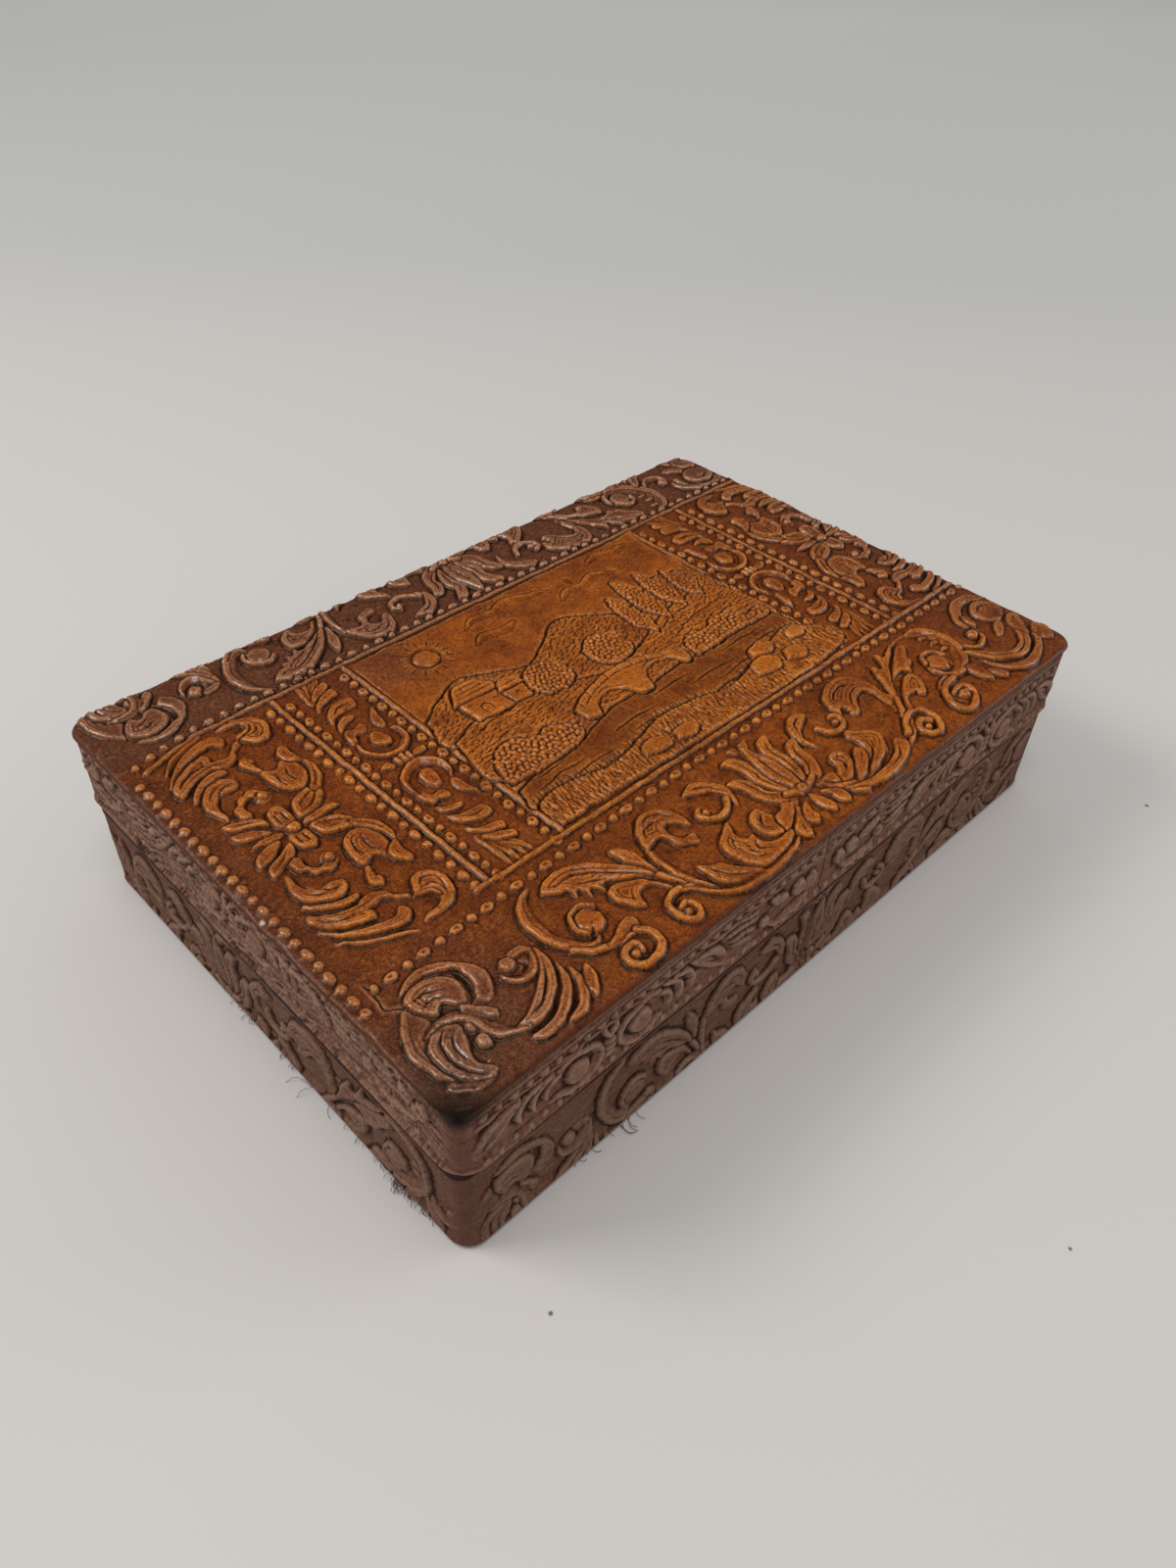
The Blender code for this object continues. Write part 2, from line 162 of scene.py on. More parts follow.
class Relief:
    """A height map over one face, in millimetres, with a tint map beside it."""

    def __init__(self, width, height, cell=0.2):
        self.cell = cell
        self.h = np.zeros((int(round(height / cell)) + 1, int(round(width / cell)) + 1))
        self.tint = np.zeros_like(self.h)
        self.place = lambda points: points
        self.flip = 1
        self.gain = 1.0
        # How dark cuts and pits are painted in the tint map, as dye and as painted shade
        self.dye_and_shade = 0.0
        self.roundness = 1.0

    @contextmanager
    def placed(self, scale=(1, 1), offset=(0, 0)):
        """Scales, or mirrors, and then moves what is drawn meanwhile."""
        outer_place, outer_flip = self.place, self.flip
        self.place = lambda points: outer_place(points * scale + offset)
        self.flip = outer_flip * np.sign(scale[0] * scale[1])
        yield
        self.place, self.flip = outer_place, outer_flip

    def grid(self, low, high):
        """The cells between two corners, as slices and as coordinates."""
        rows, columns = self.h.shape
        i0 = int(np.clip(low[0] / self.cell, 0, columns - 1))
        i1 = int(np.clip(high[0] / self.cell + 2, 1, columns))
        j0 = int(np.clip(low[1] / self.cell, 0, rows - 1))
        j1 = int(np.clip(high[1] / self.cell + 2, 1, rows))
        return (slice(j0, j1), slice(i0, i1)), np.arange(i0, i1) * self.cell, np.arange(j0, j1) * self.cell

    def raise_area(self, window, inside, shape, keep):
        """Raises the cells inside to a shape, except where the old relief, made lower, stands higher."""
        area = self.h[window]
        area[inside] = np.maximum(area * keep, shape)[inside]

    def sink_moat(self, window, inside, gap, moat, floor):
        """Lowers the ground next to a shape, most at its foot."""
        area = self.h[window]
        beside = ~inside & (gap < moat)
        area[beside] *= (floor + (1 - floor) * gap / moat)[beside]

    def stroke(self, kind, points, width, height, side=1, taper=None, moat=0.45):
        """Lays a stroke along a path: a crest with one high side, a veined leaf, a folded spray, a flat band
        or a dome. A cut or a pit goes down instead."""
        line = smooth_path(self.place(points))
        count = len(line)
        t = np.linspace(0, 1, count)
        broad = 1.15 if kind in ("crest", "leaf") else 1.0
        half = np.maximum(broad * width / 2 * width_along(t, taper or TAPER_OF[kind]), 0.12)
        along = np.gradient(line, axis=0) if count > 1 else np.array([[1.0, 0.0]])
        along /= np.maximum(np.hypot(along[:, 0], along[:, 1]), 1e-9)[:, None]
        reach = half.max() + moat
        window, xs, ys = self.grid(line.min(0) - reach, line.max(0) + reach)
        if not len(xs) or not len(ys):
            return
        far = 1e9
        # For each cell: distance from the path and across it in half widths, distance from the edge, and
        # how far along the path it is
        maps = [np.full((len(ys), len(xs)), value) for value in (far, 0.0, far, 0.0)]
        nearest, lateral, gap, where = maps
        for k in range(count):
            r = half[k] + moat
            i0, i1 = np.searchsorted(xs, (line[k, 0] - r, line[k, 0] + r))
            j0, j1 = np.searchsorted(ys, (line[k, 1] - r, line[k, 1] + r))
            if i0 >= i1 or j0 >= j1:
                continue
            dx = xs[None, i0:i1] - line[k, 0]
            dy = ys[j0:j1, None] - line[k, 1]
            distance = np.hypot(dx, dy)
            across = (along[k, 0] * dy - along[k, 1] * dx) / half[k]
            box = (slice(j0, j1), slice(i0, i1))
            closer = distance / half[k] < nearest[box]
            news = (distance / half[k], across, distance - half[k], np.full(distance.shape, t[k]))
            for old, new in zip(maps, news):
                old[box][closer] = new[closer]
        inside = nearest < 1
        height = height * self.gain
        deep = (1 - nearest ** 2)[inside]
        if kind == "cut":
            area = self.h[window]
            area[inside] -= height * deep
            np.maximum(area, DEEPEST_CUT, out=area)
            # Painted shade: the cut is darkened in the tint map, as dye and shade
            self.tint[window][inside] -= self.dye_and_shade * deep
            return
        if kind == "pit":
            self.h[window][inside] *= 1 - 0.85 * deep
            # Painted shade: the pit is darkened in the tint map, as dye and shade
            self.tint[window][inside] -= 1.6 * self.dye_and_shade * deep
            return
        widest = half.max()
        steepness = np.clip((0.36 if kind == "crest" else 0.5) * widest, 0.3, 0.9) * self.roundness
        wall = np.sin(np.clip(-gap / steepness, 0, 1) * math.pi / 2)
        s = lateral * side * self.flip
        if kind == "crest":
            shape = 0.2 + 0.8 * smoothstep((s + 1) / 1.6) - 0.2 * (widest > 0.9) * bell(s, -0.12, 0.15)
            shape = shape - 0.16 * (widest > 1.2) * bell(s, 0.4, 0.12)
        elif kind == "leaf":
            shape = (0.62 + 0.38 * s ** 2 - 0.3 * bell(s, 0, 0.13)) * (0.78 + 0.22 * where)
        elif kind == "spray":
            folds = bell(np.abs(s), 0.5, 0.12) + bell(s, 0, 0.12)
            shape = 0.7 + 0.3 * np.sqrt(np.clip(1 - s ** 2, 0, 1)) - 0.3 * folds
        elif kind == "band":
            shape = 0.75 + 0.25 * np.sqrt(np.clip(1 - nearest ** 2, 0, 1))
        else:
            shape = 0.35 + 0.65 * np.sqrt(np.clip(1 - (0.92 * nearest) ** 2, 0, 1))
        self.sink_moat(window, gap < 0, gap, moat, 0.35)
        self.raise_area(window, inside, height * wall * shape, 0.55)

    def form(self, points, dish, height, lean, moat=0.5):
        """Raises a closed shape: steep walls, rolled edges, a dished middle, and one side higher."""
        turn = math.radians(lean)
        centre = points.mean(0)
        ahead = centre + 0.01 * np.array([math.cos(turn), math.sin(turn)])
        centre, ahead = self.place(np.array([centre, ahead]))
        towards = (ahead - centre) / np.hypot(*(ahead - centre))
        points = self.place(points)
        outline = smooth_path(np.vstack([points[-1:], points, points[:2]]))
        first = np.argmin(np.hypot(*(outline - points[0]).T))
        last = len(outline) - np.argmin(np.hypot(*(outline[::-1] - points[0]).T))
        outline = outline[first:last]
        window, xs, ys = self.grid(outline.min(0) - moat, outline.max(0) + moat)
        if not len(xs) or not len(ys):
            return
        away = np.full((len(ys), len(xs)), 1e9)
        for x, y in outline:
            np.minimum(away, (xs[None, :] - x) ** 2 + (ys[:, None] - y) ** 2, out=away)
        away = np.sqrt(away)
        inside = inside_of(outline, xs, ys)
        deepest = np.max(away[inside], initial=0)
        wall = away / np.clip(0.34 * deepest, 0.32, 0.75) / self.roundness
        wall = np.sin(np.clip(wall, 0, 1) * math.pi / 2)
        shape = 1 - 0.6 * dish * (1 - bell(np.maximum(away - 0.5, 0), 0, 1.1))
        middle = points.mean(0)
        s = (xs[None, :] - middle[0]) * towards[0] + (ys[:, None] - middle[1]) * towards[1]
        s = s / np.max(np.abs(s[inside]), initial=1e-9)
        folds = np.cos(2 * math.pi * (away - 0.4) / 0.9)
        folds = folds * smoothstep((away - 0.3) / 0.5) * smoothstep(0.4 + s)
        shape = shape * (0.78 + 0.32 * s) + 0.15 * folds
        self.sink_moat(window, inside, away, moat, 0.3)
        self.raise_area(window, inside, height * self.gain * wall * shape, 0.5)

    def draw(self, listed, scale=(1, 1), offset=(0, 0)):
        """Draws forms and strokes as strokes() lists them."""
        with self.placed(scale, offset):
            for kind, points, numbers in listed:
                if kind == "form":
                    self.form(points, *numbers)
                else:
                    self.stroke(kind, points, *numbers)

    def bead(self, x, y, long, short, height, turn=0.0, ringed=False):
        """Raises a round or oval knob, with a sunk ring on a ringed one."""
        (x, y), = self.place(np.array([[x, y]], float))
        r = max(long, short) / 2 + 0.6
        window, xs, ys = self.grid((x - r, y - r), (x + r, y + r))
        dx = xs[None, :] - x
        dy = ys[:, None] - y
        c, s = math.cos(turn * self.flip), math.sin(turn * self.flip)
        u = np.hypot((dx * c + dy * s) / (long / 2), (dy * c - dx * s) / (short / 2))
        inside = u < 1
        shape = np.sqrt(np.clip(1 - u ** 2.5, 0, 1)) * (1 - 0.6 * ringed * bell(u, 0, 0.5))
        self.sink_moat(window, inside, u - 1, 0.5, 0.0)
        self.raise_area(window, inside, height * self.gain * shape, 0.5)
        self.tint[window][inside] = (0.6 - 1.2 * ringed * bell(u, 0, 0.5))[inside]

    def sampled(self, values, x, y):
        """Values of a map at given points, between cells."""
        rows, columns = values.shape
        i = np.clip(x / self.cell, 0, columns - 1.001)
        j = np.clip(y / self.cell, 0, rows - 1.001)
        i0, j0 = i.astype(int), j.astype(int)
        fi, fj = i - i0, j - j0
        return (values[j0, i0] * (1 - fi) * (1 - fj) + values[j0, i0 + 1] * fi * (1 - fj)
                + values[j0 + 1, i0] * (1 - fi) * fj + values[j0 + 1, i0 + 1] * fi * fj)

    def long_wrinkles(self, rng):
        """Fine folds that run along the strip and sway a little up and down."""
        rows, columns = self.h.shape
        spare = 30
        noise = blurred(rng.normal(0, 1, (rows + 2 * spare, columns)), 0.24 / self.cell)
        for _ in range(2):
            noise = sum(np.roll(noise, shift, 1) for shift in (0, 4, 9, 15, 22)) / 5
        x = np.arange(columns) * self.cell
        sway = 1.5 * np.sin(x / 9.5) + 0.8 * np.sin(x / 4.1 + 1.3) + 0.4 * np.sin(x / 1.9)
        index = np.arange(rows)[:, None] + (spare + sway / self.cell).astype(int)[None, :]
        noise = np.take_along_axis(noise, np.clip(index, 0, rows + 2 * spare - 1), 0)
        return noise / noise.std()

    def finish(self, soften, seed, uneven=0.05, wrinkles=0.0):
        """Softens the relief as damp leather does, roughens it, and finds its hollows and its crests: the
        hollows are painted dark as shade and dirt, the crests light as wear and highlight.
        """
        rng = np.random.default_rng(seed)
        rows, columns = self.h.shape
        x, y = np.meshgrid(np.arange(columns) * self.cell, np.arange(rows) * self.cell)
        # Every drawn line sways a little
        for size, reach in ((0.9, 0.07), (0.42, 0.03)):
            for line in (x, y):
                line += reach * patchy(rng, self.h.shape, size / self.cell)
        self.h, self.tint = self.sampled(self.h, x, y), self.sampled(self.tint, x, y)
        self.h = blurred(self.h, soften / self.cell)
        for size, share in ((0.32, 0.5), (1.4, 1.3)):
            self.h = self.h + uneven * share * patchy(rng, self.h.shape, size / self.cell)
        if wrinkles:
            self.h = self.h + wrinkles * self.long_wrinkles(rng)
        near, far = blurred(self.h, 0.3 / self.cell), blurred(self.h, 0.75 / self.cell)
        self.hollow = 0.6 * np.clip((near - self.h) / 0.1, 0, 1) + 0.8 * np.clip((far - self.h) / 0.32, 0, 1)
        self.hollow = np.clip(self.hollow, 0, 1)
        self.crest = 0.5 * np.clip((self.h - near) / 0.08, 0, 1) + 0.5 * np.clip((self.h - far) / 0.32, 0, 1)
        return self


# The scrolling border, in millimetres from the lid's front left corner

ROSETTE_LEFT = strokes("""
form 0.45 0.85 190 7.5,22.8 4.6,19.8 2.6,15.6 2.3,12 3.2,7.8 5.4,4.6 8,2.2 10,4.4 8.2,8 7.4,11.6 8,15
  9.6,17.6 8.6,20.4
form 0.4 1 170 6.2,14.4 8.8,16.1 11.4,15.6 12.7,13.6 11.9,11 10.6,8.4 10.3,6.2 12,3.4 9.6,1.8 7,2.4 5.5,5.2
  4.7,9.4 5,12.6
cut 0.8 0.5 9.8,14.8 7.5,12.6 7,9.4 7.8,5.8 10,3
cut 0.6 0.35 11.6,13.6 9.5,12 8.9,9.2 9.2,6
form 0.35 0.75 60 8.6,25.1 11,27.1 14.4,27.8 18,26.5 21.2,23.5 22.9,19.8 22.3,16.4 20,14.2 18.2,16.2 19.7,19
  19.2,22 17,24.5 13.6,25.8 10.6,25.1
form 0.35 1.05 120 8.4,23.6 11,25.2 14.1,25.1 16.7,23.7 18,21.2 17.7,18.6 16.3,16.8 14.5,17.1 12.8,18.7
  11,17.4 9.4,18.7 8.3,21
cut 0.7 0.45 9,22.1 11.9,22.5 15.4,20.8
cut 0.6 0.35 9.6,20.3 12,20.7 14.6,19.2
cut 1.3 0.9 16.8,24.6 18.9,23.2 19.3,20.6 18.3,17.6 16.6,16
form 0.3 1 150 14.8,16.8 17.4,14.6 19.2,12.2 18.2,10.7 16,12.4 14.4,14.4
dome 3.7 1.05 26.4,17.9
crest 1.7 0.95 -1 24.2,17.6 24.5,15.5 26.3,13.9 28.8,14 30.7,15.9 31.7,18.2
leaf 1.7 0.85 28,19.2 30.4,19 32.8,17.4
cut 0.9 0.8 28.4,17.4 29,15.9 27.6,15.1
form 0.35 1.1 290 18.2,7 22,7.9 26.4,10.6 29.9,13.8 32.5,18 33,14.4 31.6,11 28.6,7.6 24.6,5.3 21,4.9
  18.8,5.6
cut 0.7 0.4 20.6,6.5 25,7.8 29,10.8 31.6,14.4
form 0.35 0.9 290 19.4,4 24.6,4.3 29,7 31.9,10.5 33.4,13 32.6,8.6 29.6,4.8 25.4,2.4 21,2.1
form 0.3 0.85 300 26,1.9 30,3.8 32.6,7 34.1,10.6 34.5,7 32.6,3.8 29.4,1.3
form 0.3 0.8 320 32.8,2.5 33.5,5.6 35.2,8 36.8,9.3 36.6,6.5 34.8,3.7
dome 2.9 1.05 13.2,8.4 13.3,8.9
dome 2.8 0.95 13.9,12.2
leaf 1.6 0.8 14.6,11.6 16.6,9.6 18,7.4
pit 2 1 11.2,6.2 11.3,6.8
pit 1.3 1 13.6,5.4
""")
ROSETTE_FLOW = strokes("""
crest 2.2 0.85 -1 6.4,15.4 9.8,16.3 13.2,15.5 15.2,12.9 15.8,9.5 17.9,7 21,5.4
leaf 1.8 0.8 3.6,5.6 5.4,4 7.8,2.6 10.4,1.9
pit 2.6 1 11.2,6.7
cut 1 0.9 18.3,23.4 18.9,20.4 17.9,17.6
""")
SCROLLS_LEFT = strokes("""
crest 2.9 1.1 -1 41.2,28.8 38.4,27.4 36.5,24.9 35.6,22 35.5,19.2 36.1,16.3 37.7,13.5 39.8,11.6 41.8,11.2
  43.3,12.4
dome 6.4 0.95 43.8,15.5
band 1.1 1.1 46.6,17.7 44.8,19.1 42.4,18.8 40.8,17.1 40.5,15 41.3,13.2
cut 1 0.9 43,13.8 42,12.7 40.8,13.1
band 1.7 0.9 37,12.4 39.5,9.9 43,8.9 46,8.3 48.6,8.1
form 0.3 0.95 90 42,9 45.8,10.5 48.9,11.6 50.5,10 49.6,8.2 47,8.5 44.4,8.3
band 1.8 0.95 48.6,8.2 50.2,6.2 50,3.5 47.7,1.8 44.4,1.6 42.5,3.1 42.7,5.3 44.3,6.5 46,5.9 46,4.4
dome 2.2 0.9 44.6,4.6
form 0.35 1.1 70 41.6,25.9 44,28 48.4,28.6 52.8,26.4 56.7,22.9 59.9,18.8 62.1,14 58.6,16.6 55.4,18.4 52.4,20
  51.4,18.4 49.6,20.6 48.6,19.3 47.4,21.9 46.4,21.1 45.6,23.3 44,23.7
cut 0.8 0.5 44.6,25.6 49,25.3 53.4,22.7 57.4,18.9 60.8,15
cut 0.6 0.35 47,27 51.2,25.7 55.2,22.5 58.6,18.6
cut 0.6 0.35 47.4,23.3 51,22 54.4,19.8
form 0.45 1.05 180 51.2,18.4 53.8,18.7 56.7,17.3 59.2,15.6 61.6,11.6 60.6,11.2 59,13.6 56.6,14.2 55.2,13.1
  54.4,10.8 52.2,12.1 50.7,14.6 50.6,16.9
form 0.35 1.05 20 58.6,26 60.9,24 61.9,20.8 62.2,15 60.4,18.6 58.8,21.4
band 1.5 0.95 61.4,14.8 63,11.8 64.6,8.8 66.2,5.8
band 1.7 1 66,4.8 64.7,7.6 62.4,9.4 59.8,9.8 57.7,8.8 56.8,6.6 57.1,4 58.6,2.6 60.4,3.2 61.1,5.1 60,6.5
  58.7,6.1
dome 1.9 0.9 59,4.7
form 0.4 1 180 68.1,11.6 70,10.5 72.7,9 74.2,6.6 78.2,2.2 74.9,1.6 71.7,2.5 69.4,4.2 68.1,7
cut 0.6 0.4 69.4,9.6 71.3,6.2 75,2.9
form 0.35 1.1 170 81.8,15.5 78.6,14.1 76.1,12.7 74.9,10.2 75.2,6.9 76.6,3.9 79,1.9 82.6,1.9 86.4,2.8 90,4.2
  89.8,6 86,5.7 83.7,6.7 82.8,8.4 83.2,10.1 81.2,9.9 80.4,11.8
cut 0.7 0.45 79.4,12.6 77.5,9.4 78.5,5.8 81.6,3.6
cut 0.6 0.4 81.8,8.8 81,6.6 83,4.7
cut 0.5 0.3 79.6,9.6 79.4,6.8 81,4.8
crest 1.9 1.05 -1 62.4,9.6 64.8,6.3 67.6,3.5 71,1.9 76,1.2 81,1.2 86,2 90.4,3.4
crest 2 1.1 1 67.6,4.4 65.6,8.6 64.5,13 64.2,17.4 65,21.4 66.5,24.2
form 0.35 1.1 130 64.2,20.2 64.6,23.1 66.5,26.1 69.3,28.2 72.6,28.2 75.5,26.1 76.8,22.9 76.4,20 75.1,20.4
  73.9,22 72.4,22.9 71.2,22.3 71.1,20.6 72.2,18.8 75,18.1 74,15.5 71.6,16.4 69.6,17.6 69.4,19.6 68.5,20.9
  66.6,21
cut 0.7 0.45 66,23 67.9,24.6 70.7,24.9 73.4,23.4
cut 0.6 0.35 67.2,25.6 69.6,26.6 72.6,26 74.8,24
pit 2.5 1 67.2,19.2 67.4,18
form 0.55 1.1 180 88.8,14.2 86,13.4 84.4,11.2 84.2,8.4 85.5,6.3 88,5.8 90.3,7.1 90.8,9.4 89.9,11.7
cut 0.8 0.5 88.6,12.4 86.9,10.6 87.2,8.6
form 0.3 1.05 90 89.9,10 92.7,10.5 94.6,12.3 97.4,12.8 98.2,10.6 96,8.8 93,7.2 90,5.7 88.6,6.1
form 0.35 1 200 95.9,9.6 94.3,8 92.6,6.8 90.3,5.3 89.6,2.8 91.7,1.6 93.4,3.1 93.9,5 96.2,7.4
form 0.35 1 220 97.9,9 95.6,7.5 94.3,5.9 93.9,4 95.5,2.8 97.3,4 97.6,6.4 98.8,8.6
form 0.35 1.05 60 80.8,26.2 83.8,28.2 86.3,27.2 88.7,24.8 89.6,21.9 89,19 87.2,17 87.5,20.4 86.1,23.1
  83.8,24.4
cut 0.6 0.35 83,26.4 86.2,25 88,21.6
band 1.6 0.95 87,20 84.9,18.1 81.9,17.3 79.5,18.3 78.8,20.2 80,21.4
dome 2 0.9 80.7,20
""")
SCROLLS_RIGHT = strokes("""
form 0.45 1.05 30 107.8,10 110,9.7 111.7,11.3 112.6,13.8 114.6,14.3 116.4,12.6 116,9.7 113.7,7.6 111.2,6.4
  108.5,6.5
cut 0.7 0.45 113,12.8 113.8,10.7 112.4,8.8
form 0.3 1.05 90 103.6,12.8 106.9,11.1 109.6,10.1 108.4,6.3 106,8.3 103.8,10.4
form 0.35 1 250 106.1,9.6 107.7,8 109.4,6.8 111.7,5.3 112.4,2.8 110.3,1.6 108.6,3.1 108.1,5 105.8,7.4
form 0.35 1 230 104.1,9 106.4,7.5 107.2,5.9 107.2,3.8 105.6,2.6 103.9,3.8 104,6.4 103.2,8.6
form 0.3 1 270 107.6,5.8 110.6,3.2 114.1,1.8 119.7,1.2 125.3,2.4 130.2,5 129,8.4 126,6 121,4.4 116,3.9
  111.6,4.6
form 0.35 1 20 116.5,9.9 119.3,12 120.5,9.4 118,6.9 114.8,5.3 111.4,4.9 113.6,7.2
form 0.35 1.1 20 120.8,15.3 122.6,16.9 125,15.2 127.7,12.1 127.3,9.5 124.4,6.7 120.7,5.3 116,4.8 119,7.6
  120.7,10.4 121.4,12.8
cut 0.6 0.4 115.6,5.9 119.7,7.5 123.9,10.4
cut 0.6 0.4 118.6,6.6 121.8,9 123.6,12.4
cut 0.6 0.45 113,3.5 118,4.2 122.6,6 126.8,9.2
cut 0.6 0.4 120,2.7 124.6,3.9 128.4,6.6
crest 2.2 1.1 -1 129.6,4.2 134.2,7.2 137.3,11.2 139.3,15.4 140.4,19.4 140.5,22.6
form 0.35 1.1 100 127,20.6 126.4,23.6 128.2,27.2 131.7,29.4 135.2,30.1 138.5,28.9 140.6,26.2 141.4,22.7
  140.7,18.6 139.3,15.2 138.1,16.6 138.5,19.6 138,22 136,22.8 133.5,21.1 131.6,18.8 129.8,18.2 128.6,19.2
  129.3,21 128.6,22
cut 0.7 0.45 129,24.4 132,26.6 135.4,26.9 138.4,24.8
cut 0.6 0.35 131.6,21.4 134.4,24 137.6,24.4
pit 2.4 1 136.4,20.8 136.8,19.4
band 1.6 0.95 118.4,21.2 119.6,18.6 122.5,17.8 125.2,19 125.6,21 124.2,21.9
dome 1.9 0.9 123.9,20.2
form 0.35 1.05 120 120.8,26.4 117.8,28.2 115.4,27.2 113,24.8 112.2,21.9 112.8,19 114.4,17 114.2,20.4
  115.6,23.1 118,24.4
cut 0.6 0.35 118.8,26.4 115.6,25 113.8,21.6
band 1.5 0.95 136.4,10.4 139,13.6 142,16.8
band 1.7 1 132.6,7 136.2,10 139.6,11 141.8,9.8 142.1,7.4 141.2,4.9 139.1,2.8 136.7,3.2 135.7,5 136.6,7
  138.6,7.6 139.9,6.3
dome 2 0.9 138,5.2
form 0.35 1.05 110 141.2,16.4 143,21 144.9,24.6 146.7,27 147.6,24.9 149.3,26.1 151.2,29.6 152,27.4
  154.4,28.2 158.6,29.8 155.6,27.2 150.6,24.3 146.6,20.7 143.6,17.6
form 0.35 1.05 300 142.4,16.4 145.2,19.2 149.5,23 154.3,26 158.4,28 160.2,27 158.9,25.3 156.9,23.5
  155.7,21.5 153.6,20.7 152.5,19.4 150.8,21.1 147.4,20.6 144.4,18.2
form 0.4 1 20 139.8,12 142.6,15.1 144.7,16.9 148.2,19 151,19.5 151.6,16.8 149.7,13.4 147.3,12.4 146.3,14
  144.8,14.7 142.8,13.5 141,11
pit 1.3 1 146.5,14.2
crest 3.2 1.1 1 157.8,28.8 161.2,30 164.8,29.3 167.6,27 169,23.8 169.1,20.1 167.7,16.6 165.2,14 162,12.5
  159.2,12.6 157.3,14.6 156.9,17 158.2,19.6
dome 6.2 1 160.2,17.4
band 1.1 1.1 157.5,19 159,21 161.2,21.3 163.1,20 163.5,18
cut 0.9 0.8 163.3,17.6 162.7,16 161.2,15.1
leaf 1.1 0.85 167.2,25.4 165.6,25.8 164.6,25
leaf 1.1 0.85 168,22.5 166.2,22.9 165.2,22.2
leaf 1.1 0.85 167.8,19.5 166,19.9 165,19.2
form 0.3 1 110 151.5,11 153.8,13.2 156.8,13.2 158.8,11.8 156.6,10.4 154.2,10.2
band 1.9 1 157.6,11.4 154,11.2 150.9,9 149,6 149.2,3.5 151.3,2.4 154.2,3.4 156.6,5.8 157,8 155.4,9 153.2,8.2
dome 3.4 1 154.4,6.4
cut 1 0.7 151.9,8 151.4,6 152.4,4.4
form 0.35 0.95 200 163.2,11.8 166.4,11.8 166.5,8 164.3,4.7 162.7,7.2
form 0.35 0.95 240 166.8,8.4 168.9,6.4 169.5,3.9 167.3,3.4 166,5.6
""")
ROSETTE_RIGHT = strokes("""
form 0.35 0.95 250 169,12.4 170.2,8.2 173.2,5.2 177.2,4.3 181.6,4.8 185.9,6.4 189.6,9.6 188.8,6.4 184.4,3.4
  179,1.7 174.6,1.8 171,4 169,8
form 0.35 1.05 250 168.5,16.2 170.8,14.8 173.3,11.9 175.4,9.4 178,8.4 181.2,8.6 184.2,10 186.8,12.5
  188.4,11.1 186.3,7.8 183,5.8 179.6,4.8 175.8,5.6 172.3,7.9 169.7,11.6
cut 0.7 0.45 170.8,13 173.6,8.9 177.6,6.8 182,7.2 185.6,9.5
dome 3.6 1.1 176.8,18.4
crest 1.7 0.95 -1 170.4,18.2 172.3,15.7 174.4,14.8 177.2,15.6 179.2,17.8
form 0.3 0.85 60 181.2,14.2 184.4,17 187.2,17.5 185.7,14.8 182.6,13.2
form 0.35 0.9 0 188,15.6 191.4,17.5 193.1,15.6 190.9,12.1 188.3,9.4 187,12.6
form 0.3 0.85 0 189.7,9.6 192.7,11.2 193.7,7.6 191.4,4.2 189,5.9
form 0.35 0.9 110 178.3,20.4 178.1,24.1 180.7,27.2 184.4,29.7 188.5,30.2 192.3,28.2 194.1,24.8 191.6,25.4
  188,27 184.6,26.2 181.9,24 180.9,21
form 0.4 1 120 183.8,20.8 184.7,24.1 188.4,26 192,24.7 193.7,21.2 191.4,18.1 187.6,17.2 185,18.6
cut 0.7 0.45 185.8,22.4 188.4,23.8 191.4,22.6
form 0.3 1 180 180,19.4 179.7,22.4 181.4,24.6 182.8,22.6 181.7,20.2
""")
PALMETTE_HALF = strokes("""
form 0.35 1 160 98,10.2 94.2,11.7 91.7,15 91.1,19.2 89.7,22.6 92.5,22.8 94.5,20.2 95.1,16.4 97.4,13.4
cut 0.6 0.4 97,12.8 94.1,15.6 93.2,19.4 92,21.6
form 0.35 1.05 150 98.8,12 96.2,15.4 95.1,19.4 95.3,23.6 93.6,27.4 96.5,27.6 98.6,24.4 98.2,19.6 98.8,15.6
cut 0.6 0.4 98,14.6 96.9,18.6 97,23 95.8,26.2
form 0.2 0.9 90 100.8,26.8 98.8,27.6 97.6,29.8 95.4,30 97.4,31 99.6,30.4 101,28.6
""")
PALMETTE_CENTRE = strokes("""
form 0.4 1.1 90 101,10.6 98.8,15 98.4,20 99.4,24.6 101,29 102.6,24.6 103.6,20 103.2,15
cut 0.8 0.5 101,13.6 101,26.4
form 0.3 1 270 101,10 102.4,6.4 102,3.6 101,2.6 100,3.6 99.6,6.4
band 1.9 1.1 96.8,12.5 99,11.4 101,11 103,11.4 105.2,12.5
dome 3 1.15 101,11.5
""")


def draw_border(relief):
    """The whole long border, with a plain palmette in the middle."""
    relief.draw(ROSETTE_LEFT + ROSETTE_FLOW + SCROLLS_LEFT + SCROLLS_RIGHT + ROSETTE_RIGHT + PALMETTE_HALF)
    relief.draw(PALMETTE_HALF, (-1, 1), (202, 0))
    relief.draw(PALMETTE_CENTRE)


# The end panels and the upright bands, lower half

